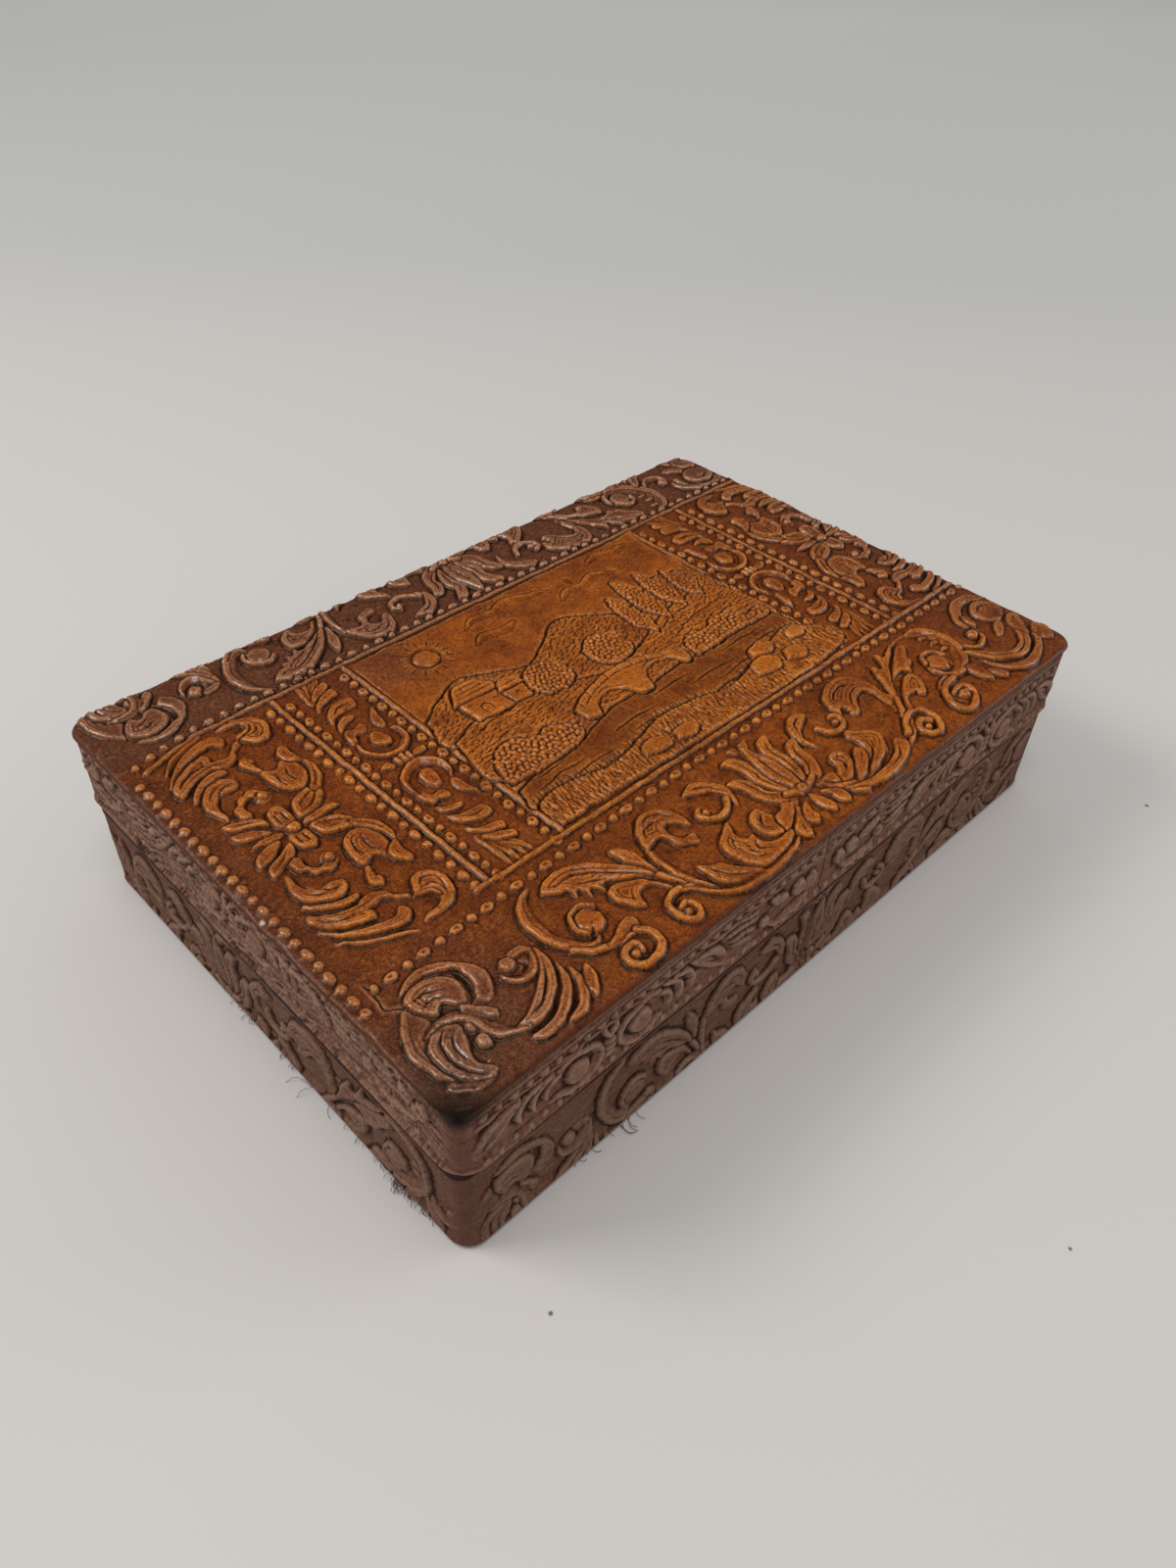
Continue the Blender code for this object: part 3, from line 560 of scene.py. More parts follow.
PANEL_HALF = strokes("""
crest 1.4 0.75 -1 7.6,42 11,38.9 15.2,36.8 18.8,35.3 20.8,34.2
form 0.45 1 260 6.6,45.6 9.2,42 12.8,39.1 16.9,37.5 20.2,37.3 22.2,38.8 21.9,40.7 20.5,41.4 18.9,39.9
  16.1,40.2 12.8,41.4 9.7,43.4 7.4,46
form 0.35 1.1 240 6.5,49.9 6.2,47.6 8.3,45 11.2,43 14.1,41.9 16.3,41.7 17.2,43.1 16.7,44.2 18,44.3 20.2,44.6
  21.8,42.9 23.8,41.4 24.4,42.8 22.3,44.4 21.5,46.3 19,47.8 16.8,47.5 15.3,46.7 12,47.4 9.2,49.1 7.6,50.2
cut 0.7 0.45 8,47.4 10.8,45.4 14.1,44.5 16,44.4
cut 0.6 0.35 9.4,48 12.4,46.2 15.8,45.6 19,46
form 0.3 0.95 250 7.8,52.6 9.1,50.4 11.6,48.7 14.1,47.7 16.6,47.8 17.6,49 15.3,49.5 12.4,50.1 10,51.7
  8.6,53.2
form 0.5 1.05 230 9.9,61.8 8.4,58.1 8.3,55.2 9.7,52.4 12.2,50.6 14.9,50.2 17.1,51.4 17.6,53.7 15.6,54.8
  13,54.6 11.3,55.9 10.6,58 10.8,60.8
cut 0.7 0.45 10.9,57.6 12,55 14,53 16.2,52.6
form 0.35 1.1 40 22.3,35.6 25.7,34.8 29,35.6 31.4,38 32.1,41.3 31,44.2 28.9,45.7 26.8,45.5 25.5,43.8
  24.7,42.2 24.4,40.8 25.7,40.2 27.6,40.3 27.9,38.9 27.2,37.5 25.6,36.9 23.9,36.8
cut 0.6 0.35 26.6,43 28.5,43.8 30.2,42.4
cut 0.5 0.3 26.8,41.8 28.5,42.2 29.8,40.8
pit 2.2 1 25.7,38.6 26.5,38.6
band 0.9 1.15 24.6,41.3 26.2,40.9 27.7,40.2 28.4,38.9
form 0.25 1.05 210 12.1,63.5 13.6,64.3 14.7,63.1 14.3,61.4 14.9,60 16.1,59.2 17.2,59.6 17.3,61.1 18.6,62
  20.3,61.1 20.5,59.3 19.3,57.9 17.3,56.7 15.9,57.5 14.3,57.9 13.4,59.7 12.2,60.2 12,61.8
dome 2.6 1.1 18.8,60
pit 1.6 1 16.2,60.6
form 0.35 0.95 100 8,62.5 8.8,65.1 12,66.4 15.4,68 15,65.3 12,63.6 9.3,62.4
form 0.35 0.9 110 7.6,66 8.2,68.4 10.6,69.8 14.6,70.4 13,68 10.4,66.4
cut 0.6 0.35 9.6,64 12,65 14,66.4
form 0.4 1 260 16.3,70.3 15.8,67.4 16.7,64.7 19.1,64.3 20.3,66.6 20.1,70
cut 0.6 0.4 17.3,69.4 17.2,66
cut 0.6 0.4 18.8,69.4 18.8,65.8
form 0.35 1.1 250 20.9,70.1 23.6,70.5 26.7,69.1 28.8,66.6 28.5,64 25.4,64 22,65.4 20.9,67.8
cut 0.6 0.4 22.2,69 25,68.2 27.6,65.8
cut 0.5 0.35 22.4,67.2 24.8,66.4 26.8,64.8
leaf 2.3 1.05 27.6,65.2 30,62 31.3,58.4 31,55
form 0.35 1.1 160 27.9,62.6 24.6,63 22.2,60.4 21.7,56.6 22.4,53.4 25,54.7 27.3,53 29.6,55.2 29.8,59
cut 0.6 0.4 24.2,61.4 23.8,58.4 24.2,55.6
cut 0.6 0.4 26.6,61 26.2,58 26.8,55.2
form 0.35 1 200 28.2,54.6 27.4,51.6 29.2,49.2 31,49.9 30.8,53 31.1,55.8
form 0.3 1 180 23.4,53.2 22.8,51.3 23.4,49.1 21.9,47.5 20.3,48.7 20.7,51 22.2,53.4
pit 0.9 0.8 22.6,50.4
""")
PANEL_CENTRE = strokes("""
dome 3.6 1.05 18.4,71.5
form 0.35 0.95 180 16.4,71.5 14.4,72.5 11.4,72.3 9.2,71.5 11.4,70.7 14.4,70.5
form 0.35 0.95 0 20.6,71.5 22.8,72.6 26,72.4 29,71.5 26,70.6 22.8,70.4
""")
BAND_HALF = strokes("""
leaf 1.5 0.7 42.9,46 43.4,40.6 43.4,34.9
leaf 1.6 0.7 43.6,46 45,40.6 45.5,34.9
leaf 1.6 0.7 44.2,44.6 46.6,39.6 47.5,35
leaf 1.6 0.7 45.2,43 48,38.8 49.3,35.4
form 0.35 0.8 270 43.7,45.4 47,43.9 49.5,42.3 48.9,40.7 46.1,41.6 44,43.6
form 0.35 0.8 260 42.5,49.5 44.6,47.5 49.1,46.3 48.9,43.9 45.8,44.7 42.9,47.1
form 0.35 0.85 260 42.1,55 44.2,53.1 47.4,52.7 49.9,52.3 50.4,49.6 48.2,48.7 45.3,49.1 42.7,51.3
cut 0.6 0.3 43.4,52.6 46,50.8 49,50.6
form 0.3 0.8 260 42.3,57.8 44.2,56.4 47.5,55.2 45.4,54.2 43.4,54.8 42.2,56
form 0.35 0.85 210 41.5,63 41.4,60 42.4,58.4 44.2,58.8 46.6,57.9 47.3,59.4 45.9,61.2 44,60.8 43,62.6
crest 1.9 0.95 -1 50.6,62.6 51.6,65 51,68.2 48.6,70.3 45.4,70.2 42.8,68.2 41.9,65.4 42.2,62.6
form 0.2 0.95 90 49,65.4 48.4,67.4 46.6,67.9 44.9,66.4 45,63.6 46.6,61.8 48.2,62.6
form 0.35 0.8 0 49.4,62 48.9,59.4 50,57 51.9,55.1 51.5,58.6 50.8,61.8
""")
BAND_KNOT = strokes("""
form 0.3 0.8 180 44.5,73.5 43.2,74.6 41,74 41,73 43.2,72.4
form 0.3 0.8 0 48.9,73.5 50.2,74.6 52.2,74 52.2,73 50.2,72.4
dome 1.3 0.8 45.2,72.7 45.2,74.3
dome 1.4 0.9 46.7,72.5 46.7,74.5
dome 1.3 0.8 48.2,72.7 48.2,74.3
""")


def bead_row(relief, start, end, first_oval, pitch, long, short, round_size, height, ringed):
    """Ovals and round beads in turn, from start to end."""
    start, end = np.array(start, float), np.array(end, float)
    span = np.hypot(*(end - start))
    turn = math.atan2(end[1] - start[1], end[0] - start[0])
    for k in range(int(span / pitch) + 1):
        x, y = start + (end - start) * (k * pitch / span)
        if (k + first_oval) % 2:
            relief.bead(x, y, round_size, round_size, height)
        else:
            relief.bead(x, y, long, short, height, turn, ringed)


# The middle of the picture, about which the two side panels mirror each other
MIDDLE_X = 102.5


def top_relief():
    """The height map of the embossed top."""
    relief = Relief(LENGTH, DEPTH, 0.18)
    relief.dye_and_shade = 0.4
    draw_border(relief)
    # The back border is the same border seen from its other side, cut off by the lid's edge
    with relief.placed((1, -1), (0, 140)):
        draw_border(relief)
    # The ground under the long bead rows is level
    for y in (33.2, 108.2):
        window, _, _ = relief.grid((0.0, y - 3.4), (LENGTH, y + 3.4))
        relief.h[window] = 0.0
    for scale, offset in (((1, 1), (0, 0)), ((-1, 1), (2 * MIDDLE_X, 0))):
        with relief.placed(scale, offset):
            relief.draw(PANEL_HALF + PANEL_CENTRE + BAND_HALF + BAND_KNOT)
            relief.draw(PANEL_HALF, (1, -1), (0, 143))
            relief.draw(BAND_HALF, (1, -1), (0, 147))
            bead_row(relief, (34.6, 36.1), (34.5, 107), 1, 3.6, 2.9, 2.0, 2.0, 0.75, False)
            bead_row(relief, (39.3, 35.3), (39.0, 107), 0, 3.42, 2.8, 1.9, 1.7, 0.85, True)
            bead_row(relief, (53.7, 34.7), (53.9, 107), 0, 3.5, 2.8, 2.1, 1.9, 0.85, True)
            for x_front, x_back, width in ((37.1, 36.8, 1.3), (56.3, 55.8, 1.4)):
                relief.stroke("dome", np.array([(x_front, 35), (x_back, 108.6)]), width, 0.5, moat=0.5)
    bead_row(relief, (2.6, 26.2), (2.5, 103), 1, 3.43, 2.9, 2.0, 2.1, 0.55, False)
    # The long bead rows bend a little, as the plate was worn
    for k in range(52):
        x = 6.4 + 3.74 * k
        y = np.interp(x, (6, 10, 20, 35, 62, 92, 195), (29.2, 29.4, 29.9, 30.7, 31.4, 32.2, 32.5))
        if k % 2:
            relief.bead(x, y, 3.0, 1.9, 0.9, 0.03, True)
        else:
            relief.bead(x, y, 1.9, 1.9, 0.85)
        back = np.interp(x, (4.6, 8.2, 16, 20, 30, 100, 195),
                         (106.9, 108.2, 109.9, 110.6, 111.3, 111.4, 111.0))
        relief.bead(x - 1.8, back, 2.4 if k % 2 else 1.8, 1.8, 0.8)
    relief.stroke("dome", np.array([(34, 34.9), (LENGTH - 1.5, 35.2)]), 1.4, 0.55, moat=0.5)
    relief.stroke("dome", points_of("5.4,104.8 8,105.9 16.9,108.2 27,109.1 100,109.4 193.5,109.2"), 1.4, 0.5)
    draw_picture(relief)
    # A crack in the leather with a raised lip beside it
    crack = points_of("5.5,31.2 5.8,27.4 5.2,24.6 6.9,23.6 8.2,22.2")
    relief.stroke("dome", crack + (-0.35, -0.1), 0.8, 0.22, moat=0.05)
    relief.stroke("cut", crack, 0.55, 0.6, taper="none", moat=0.05)
    return relief.finish(0.07, 11)


# The picture: a plain landscape with a bridge, a pond and poplars

PICTURE = (57.2, 36.6, 147.8, 107.6)


def inside_of(outline, xs, ys):
    """Which of the grid's points lie inside a closed outline."""
    x, y = np.meshgrid(xs, ys)
    result = np.zeros(x.shape, bool)
    for (x0, y0), (x1, y1) in zip(outline, np.roll(outline, -1, 0)):
        if y0 == y1:
            continue
        crosses = (y0 > y) != (y1 > y)
        result ^= crosses & (x < (x1 - x0) * (y - y0) / (y1 - y0) + x0)
    return result


def area_of(relief, text, height, tint=0.0, smooth=True):
    """Raises one area of the picture to a level and engraves its outline. Returns what it covers."""
    outline = points_of(text)
    if smooth:
        outline = smooth_path(np.vstack([outline, outline[:1]]), 0.5)[:-1]
    window, xs, ys = relief.grid(outline.min(0) - 1, outline.max(0) + 1)
    mask = blurred(inside_of(outline, xs, ys).astype(float), 0.8)
    for target, value in ((relief.h, height), (relief.tint, tint)):
        target[window] = target[window] * (1 - mask) + value * mask
    relief.stroke("cut", np.vstack([outline, outline[:1]]), 1.0, 0.5, taper="none", moat=0.1)
    return outline


def scattered(rng, outline, spacing):
    """Points a spacing apart, a little out of line, inside an outline."""
    low, high = outline.min(0), outline.max(0)
    x, y = np.meshgrid(np.arange(low[0], high[0], spacing), np.arange(low[1], high[1], spacing * 0.87))
    x = x + (np.arange(len(y))[:, None] % 2) * spacing / 2
    points = np.stack([x.ravel(), y.ravel()], 1)
    points += rng.uniform(-0.3, 0.3, points.shape) * spacing
    return points[[inside_of(outline, p[:1], p[1:])[0, 0] for p in points]]


def stippled(relief, rng, outline, spacing, size, height):
    """Small knobs all over an area, with dark gaps between them."""
    for x, y in scattered(rng, outline, spacing):
        window, xs, ys = relief.grid((x - size, y - size), (x + size, y + size))
        u = np.hypot(xs[None, :] - x, ys[:, None] - y) / (size / 2)
        knob, gap = bell(u, 0, 0.7), bell(u, 1.1, 0.4)
        relief.h[window] += 0.55 * height * (knob - 0.7 * gap)
        relief.tint[window] += 0.6 * (knob - gap)


def tooled(relief, rng, outline, spacing, length, depth, angle=90.0, spread=14.0):
    """Short strokes of a tool, side by side and nearly parallel."""
    for x, y in scattered(rng, outline, spacing):
        turn = math.radians(angle + rng.uniform(-spread, spread))
        reach = length * rng.uniform(0.7, 1.1)
        line = np.array([(x, y), (x + reach * math.cos(turn), y + reach * math.sin(turn))])
        relief.stroke("cut", line, 0.5, depth, taper="end", moat=0.05)


def lines(relief, text, width=0.65, depth=0.4):
    """Engraves lines, which slashes part."""
    for line in text.split("/"):
        relief.stroke("cut", points_of(line), width, depth)


def draw_picture(relief):
    """A plain landscape: sun and clouds, hills, a barn, poplars, a pond with a bridge and bushes."""
    rng = np.random.default_rng(7)
    relief.dye_and_shade = 0.45
    window, xs, ys = relief.grid(PICTURE[:2], PICTURE[2:])
    clouds = patchy(rng, (len(ys), len(xs)), 13)
    relief.h[window] = 0.42 + 0.05 * clouds
    upper = smoothstep((ys - 82) / 18)[:, None]
    relief.tint[window] = 0.35 - (0.25 + 0.3 * upper) * smoothstep(clouds + 0.4) - 0.3 * upper
    sun = np.array([72.0, 98.5])
    relief.bead(*sun, 6.4, 6.4, 0.75)
    relief.tint[window] *= 0.6
    for turn in 2 * math.pi * np.arange(14) / 14:
        relief.stroke("cut", sun + np.outer((4.4, 7.0), (math.cos(turn), math.sin(turn))), 0.55, 0.3)
    for cloud in ("86,101 90,103.4 96,102.6 101,104.4 107,102.6 113,101.4",
                  "112,95 116,97.6 121,97 126,98.8 132,96.4",
                  "84,94.4 88,96.4 93,95.2 98,96.6", "128,103.4 133,105 139,103.8 144,104.6"):
        relief.stroke("crest", points_of(cloud), 2.6, 0.62, moat=0.4)
    # Far hills, then the near slopes
    hill = area_of(relief, "57.4,80 64,84 72,87.5 80,84 88,81 96,85 104,90 112,87 120,82 130,85 138,88 "
                           "147,84 147,70 120,66 90,66 57.4,68", 0.5, -0.05)
    tooled(relief, rng, hill, 1.6, 2.0, 0.36, 28, 20)
    slope = area_of(relief, "57.4,70 66,73.4 76,74.6 86,72 94,68.4 102,66.6 112,69 124,74 136,76.4 147,74 "
                            "147,52 120,50 90,50 57.4,54", 0.66, 0.25)
    tooled(relief, rng, slope, 1.4, 1.8, 0.38, 12, 20)
    lines(relief, "60,68 68,70.6 77,71 / 64,64.4 72,66.4 80,65.6 / 118,69 128,72.6 138,73.4 / "
                  "122,66 131,69 142,70 / 128,63 136,65.4 145,66")
    # A barn on the left slope
    for text, level, tint in (("66,72 66,79.6 76.4,79.6 76.4,72", 0.85, 0.4),
                              ("64.6,79.2 68.4,85 74.2,85 78,79.2", 1.0, 0.6),
                              ("76.4,72 76.4,77 82,77 82,72", 0.8, 0.3),
                              ("75.6,76.8 77.6,80.4 81.4,80.4 83.4,76.8", 0.95, 0.5)):
        area_of(relief, text, level, tint, smooth=False)
    lines(relief, "66.4,80.6 76.4,80.6 / 67.2,82 75.6,82 / 68,83.4 74.8,83.4 / "
                  "69.6,72.4 69.6,75.8 71.6,75.8 71.6,72.4 / 73.4,76.4 75.2,76.4 / 67.2,77.4 68.6,77.4 / "
                  "78.6,74.8 80.2,74.8 / 77,78.2 82.2,78.2", 0.6, 0.45)
    # Poplars and round trees
    for x, y, tall, wide in ((120.5, 69.5, 19, 5.2), (127.2, 71.6, 22, 5.8), (134.2, 73, 19.5, 5.4),
                             (141, 73.4, 16, 5.0)):
        left = f"{x - wide / 2},{y + tall * 0.3} {x - wide * 0.42},{y + tall * 0.65}"
        right = f"{x + wide * 0.42},{y + tall * 0.65} {x + wide / 2},{y + tall * 0.3}"
        poplar = area_of(relief, f"{x},{y} {left} {x},{y + tall} {right}", 0.85, 0.9)
        stippled(relief, rng, poplar, 1.2, 1.2, 0.45)
    for text in ("84,69 82,73.6 84.2,78.6 88.4,80.2 92.6,78 94,72.8 91,69",
                 "103.6,67.4 100.4,71 101,76.4 105.6,79.6 110.4,77.6 112.4,72.4 109.4,68"):
        stippled(relief, rng, area_of(relief, text, 0.95, 1.0), 1.3, 1.3, 0.5)
    # The pond and the stream under the bridge
    area_of(relief, "57.4,50 66,52 76,52.6 84,55 92,57 100,56.6 108,57.4 118,58 128,57 136,58.6 147,58 "
                    "147,46 132,44 118,45.6 104,43.4 90,44.4 74,42 57.4,43", 0.38, -0.35)
    lines(relief, "60,47 68,48.4 76,48 / 66,45.4 74,46.4 82,46 / 84,50 92,51 99,50.4 / 88,47.4 96,48.2 "
                  "104,47.4 / 100,53.4 108,54.2 114,53.6 / 110,50.4 118,51.2 127,50.4 / 118,47.6 127,48.6 "
                  "137,47.8 / 126,54.4 134,55.2 143,54.6 / 132,51.4 139,52 146,51.4 / 62,50 70,50.6",
          0.65, 0.35)
    area_of(relief, "84,56.6 84,61.4 92,65.2 101,67 110,65.4 118.4,61.6 118.4,57.4 116,57 113.4,60.6 "
                    "109,61.8 105.2,59.4 103.6,55.6 99.6,55.4 97.8,59 94,61 90,59.6 87.6,56.2",
            1.0, 0.9, smooth=False)
    for x in 86 + 3.9 * np.arange(9):
        y = np.interp(x, (84, 92, 101, 110, 118.4), (61.4, 65.2, 67, 65.4, 61.6))
        relief.stroke("cut", np.array([(x, y - 0.2), (x + 0.1, y - 2.1)]), 0.6, 0.45, taper="none")
    lines(relief, "84.6,59.4 92,63 101,64.8 110,63.2 118,59.6 / 90.4,61 94,62.2 98.6,60.2 / "
                  "104.4,61 109,63 114,61.4")
    # Rounded bushes on both banks
    for text in ("57.6,52 58.4,58 62,62.4 67,63.4 71.4,60.4 75.6,61.6 79.6,58.6 81,54.6 76,52.4 66,51.6",
                 "120,57 121,62 125,64.8 130,63.6 133.6,65.6 138.4,64.6 141,60.6 146.6,61.6 147,57.4 "
                 "134,57.6"):
        stippled(relief, rng, area_of(relief, text, 0.9, 1.0), 1.4, 1.4, 0.5)
    # The near bank with its reeds and stones
    bank = area_of(relief, "57.4,36.8 57.4,43.6 63,45.6 70,45 78,43.4 88,45.4 96,47.6 106,46.8 116,44.4 "
                           "126,46.4 136,49.4 147,50.4 147,36.8", 0.75, 0.3)
    tooled(relief, rng, bank, 1.1, 2.5, 0.45)
    for text in ("84,39.4 85.4,42.6 89.4,43.6 92.4,41.4 91,38.6",
                 "93.4,38.8 95,42 99,42 100.8,39.4 97.6,37.8",
                 "124,42 125.6,46 130.4,46.8 133.6,43.6 130.6,40.8",
                 "134.4,41.6 136.4,45 140.6,44.6 141.6,41.6 138.4,39.6",
                 "128.6,47.4 130,50.4 134.4,51 137,48.6 134.6,46.4",
                 "141.6,46.4 142.4,49.6 146.4,49.4 146.8,46.2"):
        area_of(relief, text, 1.05, 1.0)


# Meshes from grids of points

def mesh_of(name, points, curved, flat, values):
    """A mesh from points in millimetres, smooth faces, flat faces, and named values of the points."""
    groups = [np.atleast_2d(faces) for faces in (*curved, *flat)]
    corners = np.concatenate([faces.ravel() for faces in groups])
    counts = np.concatenate([np.full(len(faces), faces.shape[1]) for faces in groups])
    smooth = np.concatenate([np.full(len(faces), k < len(curved)) for k, faces in enumerate(groups)])
    mesh = bpy.data.meshes.new(name)
    mesh.vertices.add(len(points))
    mesh.vertices.foreach_set("co", (points * MM).astype(np.float32).ravel())
    mesh.loops.add(len(corners))
    mesh.loops.foreach_set("vertex_index", corners.astype(np.int32))
    mesh.polygons.add(len(counts))
    starts = np.concatenate([[0], np.cumsum(counts)[:-1]])
    mesh.polygons.foreach_set("loop_start", starts.astype(np.int32))
    mesh.update(calc_edges=True)
    mesh.polygons.foreach_set("use_smooth", smooth)
    for key, data in values.items():
        mesh.attributes.new(key, "FLOAT", "POINT").data.foreach_set("value", data.astype(np.float32))
    mesh.validate()
    return linked(name, mesh)


def bridged(a, b):
    """Quads between two rows of points, each written as the points' numbers."""
    return np.stack([a[:-1], a[1:], b[1:], b[:-1]], 1)


def linked(name, data):
    """A new object in the scene."""
    made = bpy.data.objects.new(name, data)
    bpy.context.scene.collection.objects.link(made)
    return made


def quads(rows, columns, first=0):
    """Faces of a grid of points laid row by row, seen anticlockwise where rows go up and columns right."""
    j, i = np.meshgrid(np.arange(rows - 1), np.arange(columns - 1), indexing="ij")
    a = (first + j * columns + i).ravel()
    return np.stack([a, a + 1, a + columns + 1, a + columns], 1)


# The top sheet

def rounded_place(a, b):
    """Plan place and drop of grid points on the lid's rounded outline. Past the flat, each axis runs on by
    1 over the rounded edge and by 1 more down the wall."""
    inner_x, inner_y = LID_X - LID_CORNER, LID_Y - LID_CORNER
    ca = np.maximum(np.abs(a) - inner_x, 0)
    cb = np.maximum(np.abs(b) - inner_y, 0)
    r = np.maximum(ca, cb)
    flat = LID_CORNER - TOP_ROUNDING
    past = np.clip(r - flat, 0, 2)
    turn = np.minimum(past, 1) * math.pi / 2
    rho = np.minimum(r, flat) + TOP_ROUNDING * np.sin(turn)
    both = (ca > 0) & (cb > 0)
    size = np.where(both, np.hypot(ca, cb), 1)
    x = np.sign(a) * (np.minimum(np.abs(a), inner_x) + np.where(both, ca / size, ca > 0) * rho)
    y = np.sign(b) * (np.minimum(np.abs(b), inner_y) + np.where(both, cb / size, cb > 0) * rho)
    return x, y, TOP_EDGE_DROP * (1 - np.cos(turn)) + 0.12 * np.maximum(past - 1, 0), past


def axis_points(low, high, half, step):
    """Even steps along one axis, with the rounded edge's extra rows where it ends at the outline."""
    edge = half - TOP_ROUNDING
    extra = np.array([0.2, 0.4, 0.6, 0.8, 1.0, 2.0])
    a = -edge if low is None else low
    b = edge if high is None else high
    middle = np.linspace(a, b, int(round((b - a) / step)) + 1)
    before = [] if low is not None else (-edge - extra)[::-1]
    after = [] if high is not None else edge + extra
    return np.concatenate([before, middle, after])


def patch(x, y, centre, size):
    return np.exp(-(((x - centre[0]) / size[0]) ** 2 + ((y - centre[1]) / size[1]) ** 2))


def top_wear(x, y):
    """How aged, how golden and how chipped the top is, place by place, from the front left corner. The aged
    patches also carry a painted grey sheen.
    """
    age_and_sheen = 0.85 * smoothstep((y - 106.0) / 5)
    for amount, centre, size in ((1.0, (12, 10), (19, 18)), (0.4, (0, 60), (9, 60)),
                                 (0.55, (196, 65), (22, 80)), (0.4, (62, 102), (10, 9))):
        age_and_sheen = np.maximum(age_and_sheen, amount * patch(x, y, centre, size))
    gold = np.where((x > 56) & (x < 148) & (y > 36) & (y < 108), 0.75, 0.3)
    for amount, centre, size in ((0.4, (112, 12), (45, 22)), (-0.25, (60, 104), (22, 12)),
                                 (0.55, (35.6, 78), (2.5, 8)), (0.2, (170, 10), (25, 12))):
        gold = gold + amount * patch(x, y, centre, size)
    pale = patch(x, y, (1.0, 55), (0.5, 0.7)) + 0.5 * patch(x, y, (11.6, 5.4), (0.5, 0.4))
    return np.clip(age_and_sheen, 0, 1), np.clip(gold * (1 - 0.6 * age_and_sheen), 0, 1), smoothstep(2 * pale - 0.5)


def top_piece(name, relief, box, step, depth):
    """One panel of the top sheet: the relief above, the rounded edge at the outline, plain below."""
    x_low, y_low, x_high, y_high = box
    grid_a, grid_b = np.meshgrid(axis_points(x_low, x_high, LID_X, step),
                                 axis_points(y_low, y_high, LID_Y, step))
    x, y, drop, past = rounded_place(grid_a, grid_b)
    u, v = x + LID_X, y + LID_Y
    height = relief.sampled(relief.h, u, v) * (1 - smoothstep(past))
    z = LID_HIGH[2] - depth + np.minimum(height * depth / TOP_TALL, depth) - drop
    rows, columns = x.shape
    top = np.stack([x, y, z], 2).reshape(-1, 3)
    index = np.arange(rows * columns).reshape(rows, columns)
    # The outline of the panel from its front left corner, anticlockwise, and the same points at the underside
    loop = np.concatenate([index[0], index[1:, -1], index[-1, -2::-1], index[-2:0:-1, 0]])
    under = top[loop].copy()
    under[:, 2] = LID_LOW[2]
    low = len(top) + np.arange(len(loop))
    wall = bridged(np.append(loop, loop[0]), np.append(low, low[0]))[:, [0, 3, 2, 1]]
    front = low[:columns]
    right = low[columns - 1:columns - 1 + rows]
    back = low[columns + rows - 2:2 * columns + rows - 2][::-1]
    left = np.concatenate([[low[0]], low[2 * columns + rows - 3:][::-1]])[:rows]
    # The underside: one face from front to back in each column, and one at each end with its rounding
    inner = np.stack([front[1:-2], back[1:-2], back[2:-1], front[2:-1]], 1)
    first = np.concatenate([[front[1], front[0]], left[1:-1], [back[0], back[1]]])
    last = np.concatenate([[front[-1], front[-2]], [back[-2], back[-1]], right[1:-1][::-1]])
    age_and_sheen, gold, pale = top_wear(u, v)
    tint = relief.sampled(relief.tint, u, v)
    values = {"rise": height / TOP_TALL, "hollow": relief.sampled(relief.hollow, u, v),
              "crest": relief.sampled(relief.crest, u, v), "age_and_sheen": age_and_sheen, "gold": gold, "pale": pale,
              "rim": past, "tint": tint - 0.55 * bell(u, 0, 5.0) * (tint < 0.3),
              "grime": smoothstep((past + 0.7) / 0.8) * patch(u, v, (0, 0), (8.5, 8.5))}
    values = {key: np.concatenate([value.ravel(), value.ravel()[loop]]) for key, value in values.items()}
    return mesh_of(name, np.vstack([top, under]), [quads(rows, columns)], [wall, inner, first, last], values)


# The side strips

def perimeter(half_x, half_y, corner, left_half, step):
    """Points and outward directions along half the outline, anticlockwise from above, joint to joint."""
    inner_x, inner_y = half_x - corner, half_y - corner
    rows = []
    turns = (((-JOINT_HALF, half_y), (-inner_x, half_y), 90, inner_y),
             ((-half_x, inner_y), (-half_x, -inner_y), 180, -inner_y))
    for start, end, angle, centre_y in turns:
        facing = (0, 1) if angle == 90 else (-1, 0)
        rows += straight_run(start, end, facing, step)
        for t in np.linspace(0, 1, int(corner * math.pi / 2 / step), endpoint=False):
            turn = math.radians(angle + 90 * t)
            c, s = math.cos(turn), math.sin(turn)
            rows.append((-inner_x + corner * c, centre_y + corner * s, c, s))
    rows += straight_run((-inner_x, -half_y), (-JOINT_HALF, -half_y), (0, -1), step)
    rows.append((-JOINT_HALF, -half_y, 0, -1))
    # The right half is the left one turned half round
    rows = np.array(rows) * (1 if left_half else -1)
    return rows[:, :2], rows[:, 2:]


def straight_run(start, end, facing, step):
    """Even points from start up to, but without, end."""
    (x0, y0), (x1, y1) = start, end
    count = int(math.hypot(x1 - x0, y1 - y0) / step)
    return [(x0 + (x1 - x0) * t, y0 + (y1 - y0) * t, *facing)
            for t in np.linspace(0, 1, count, endpoint=False)]


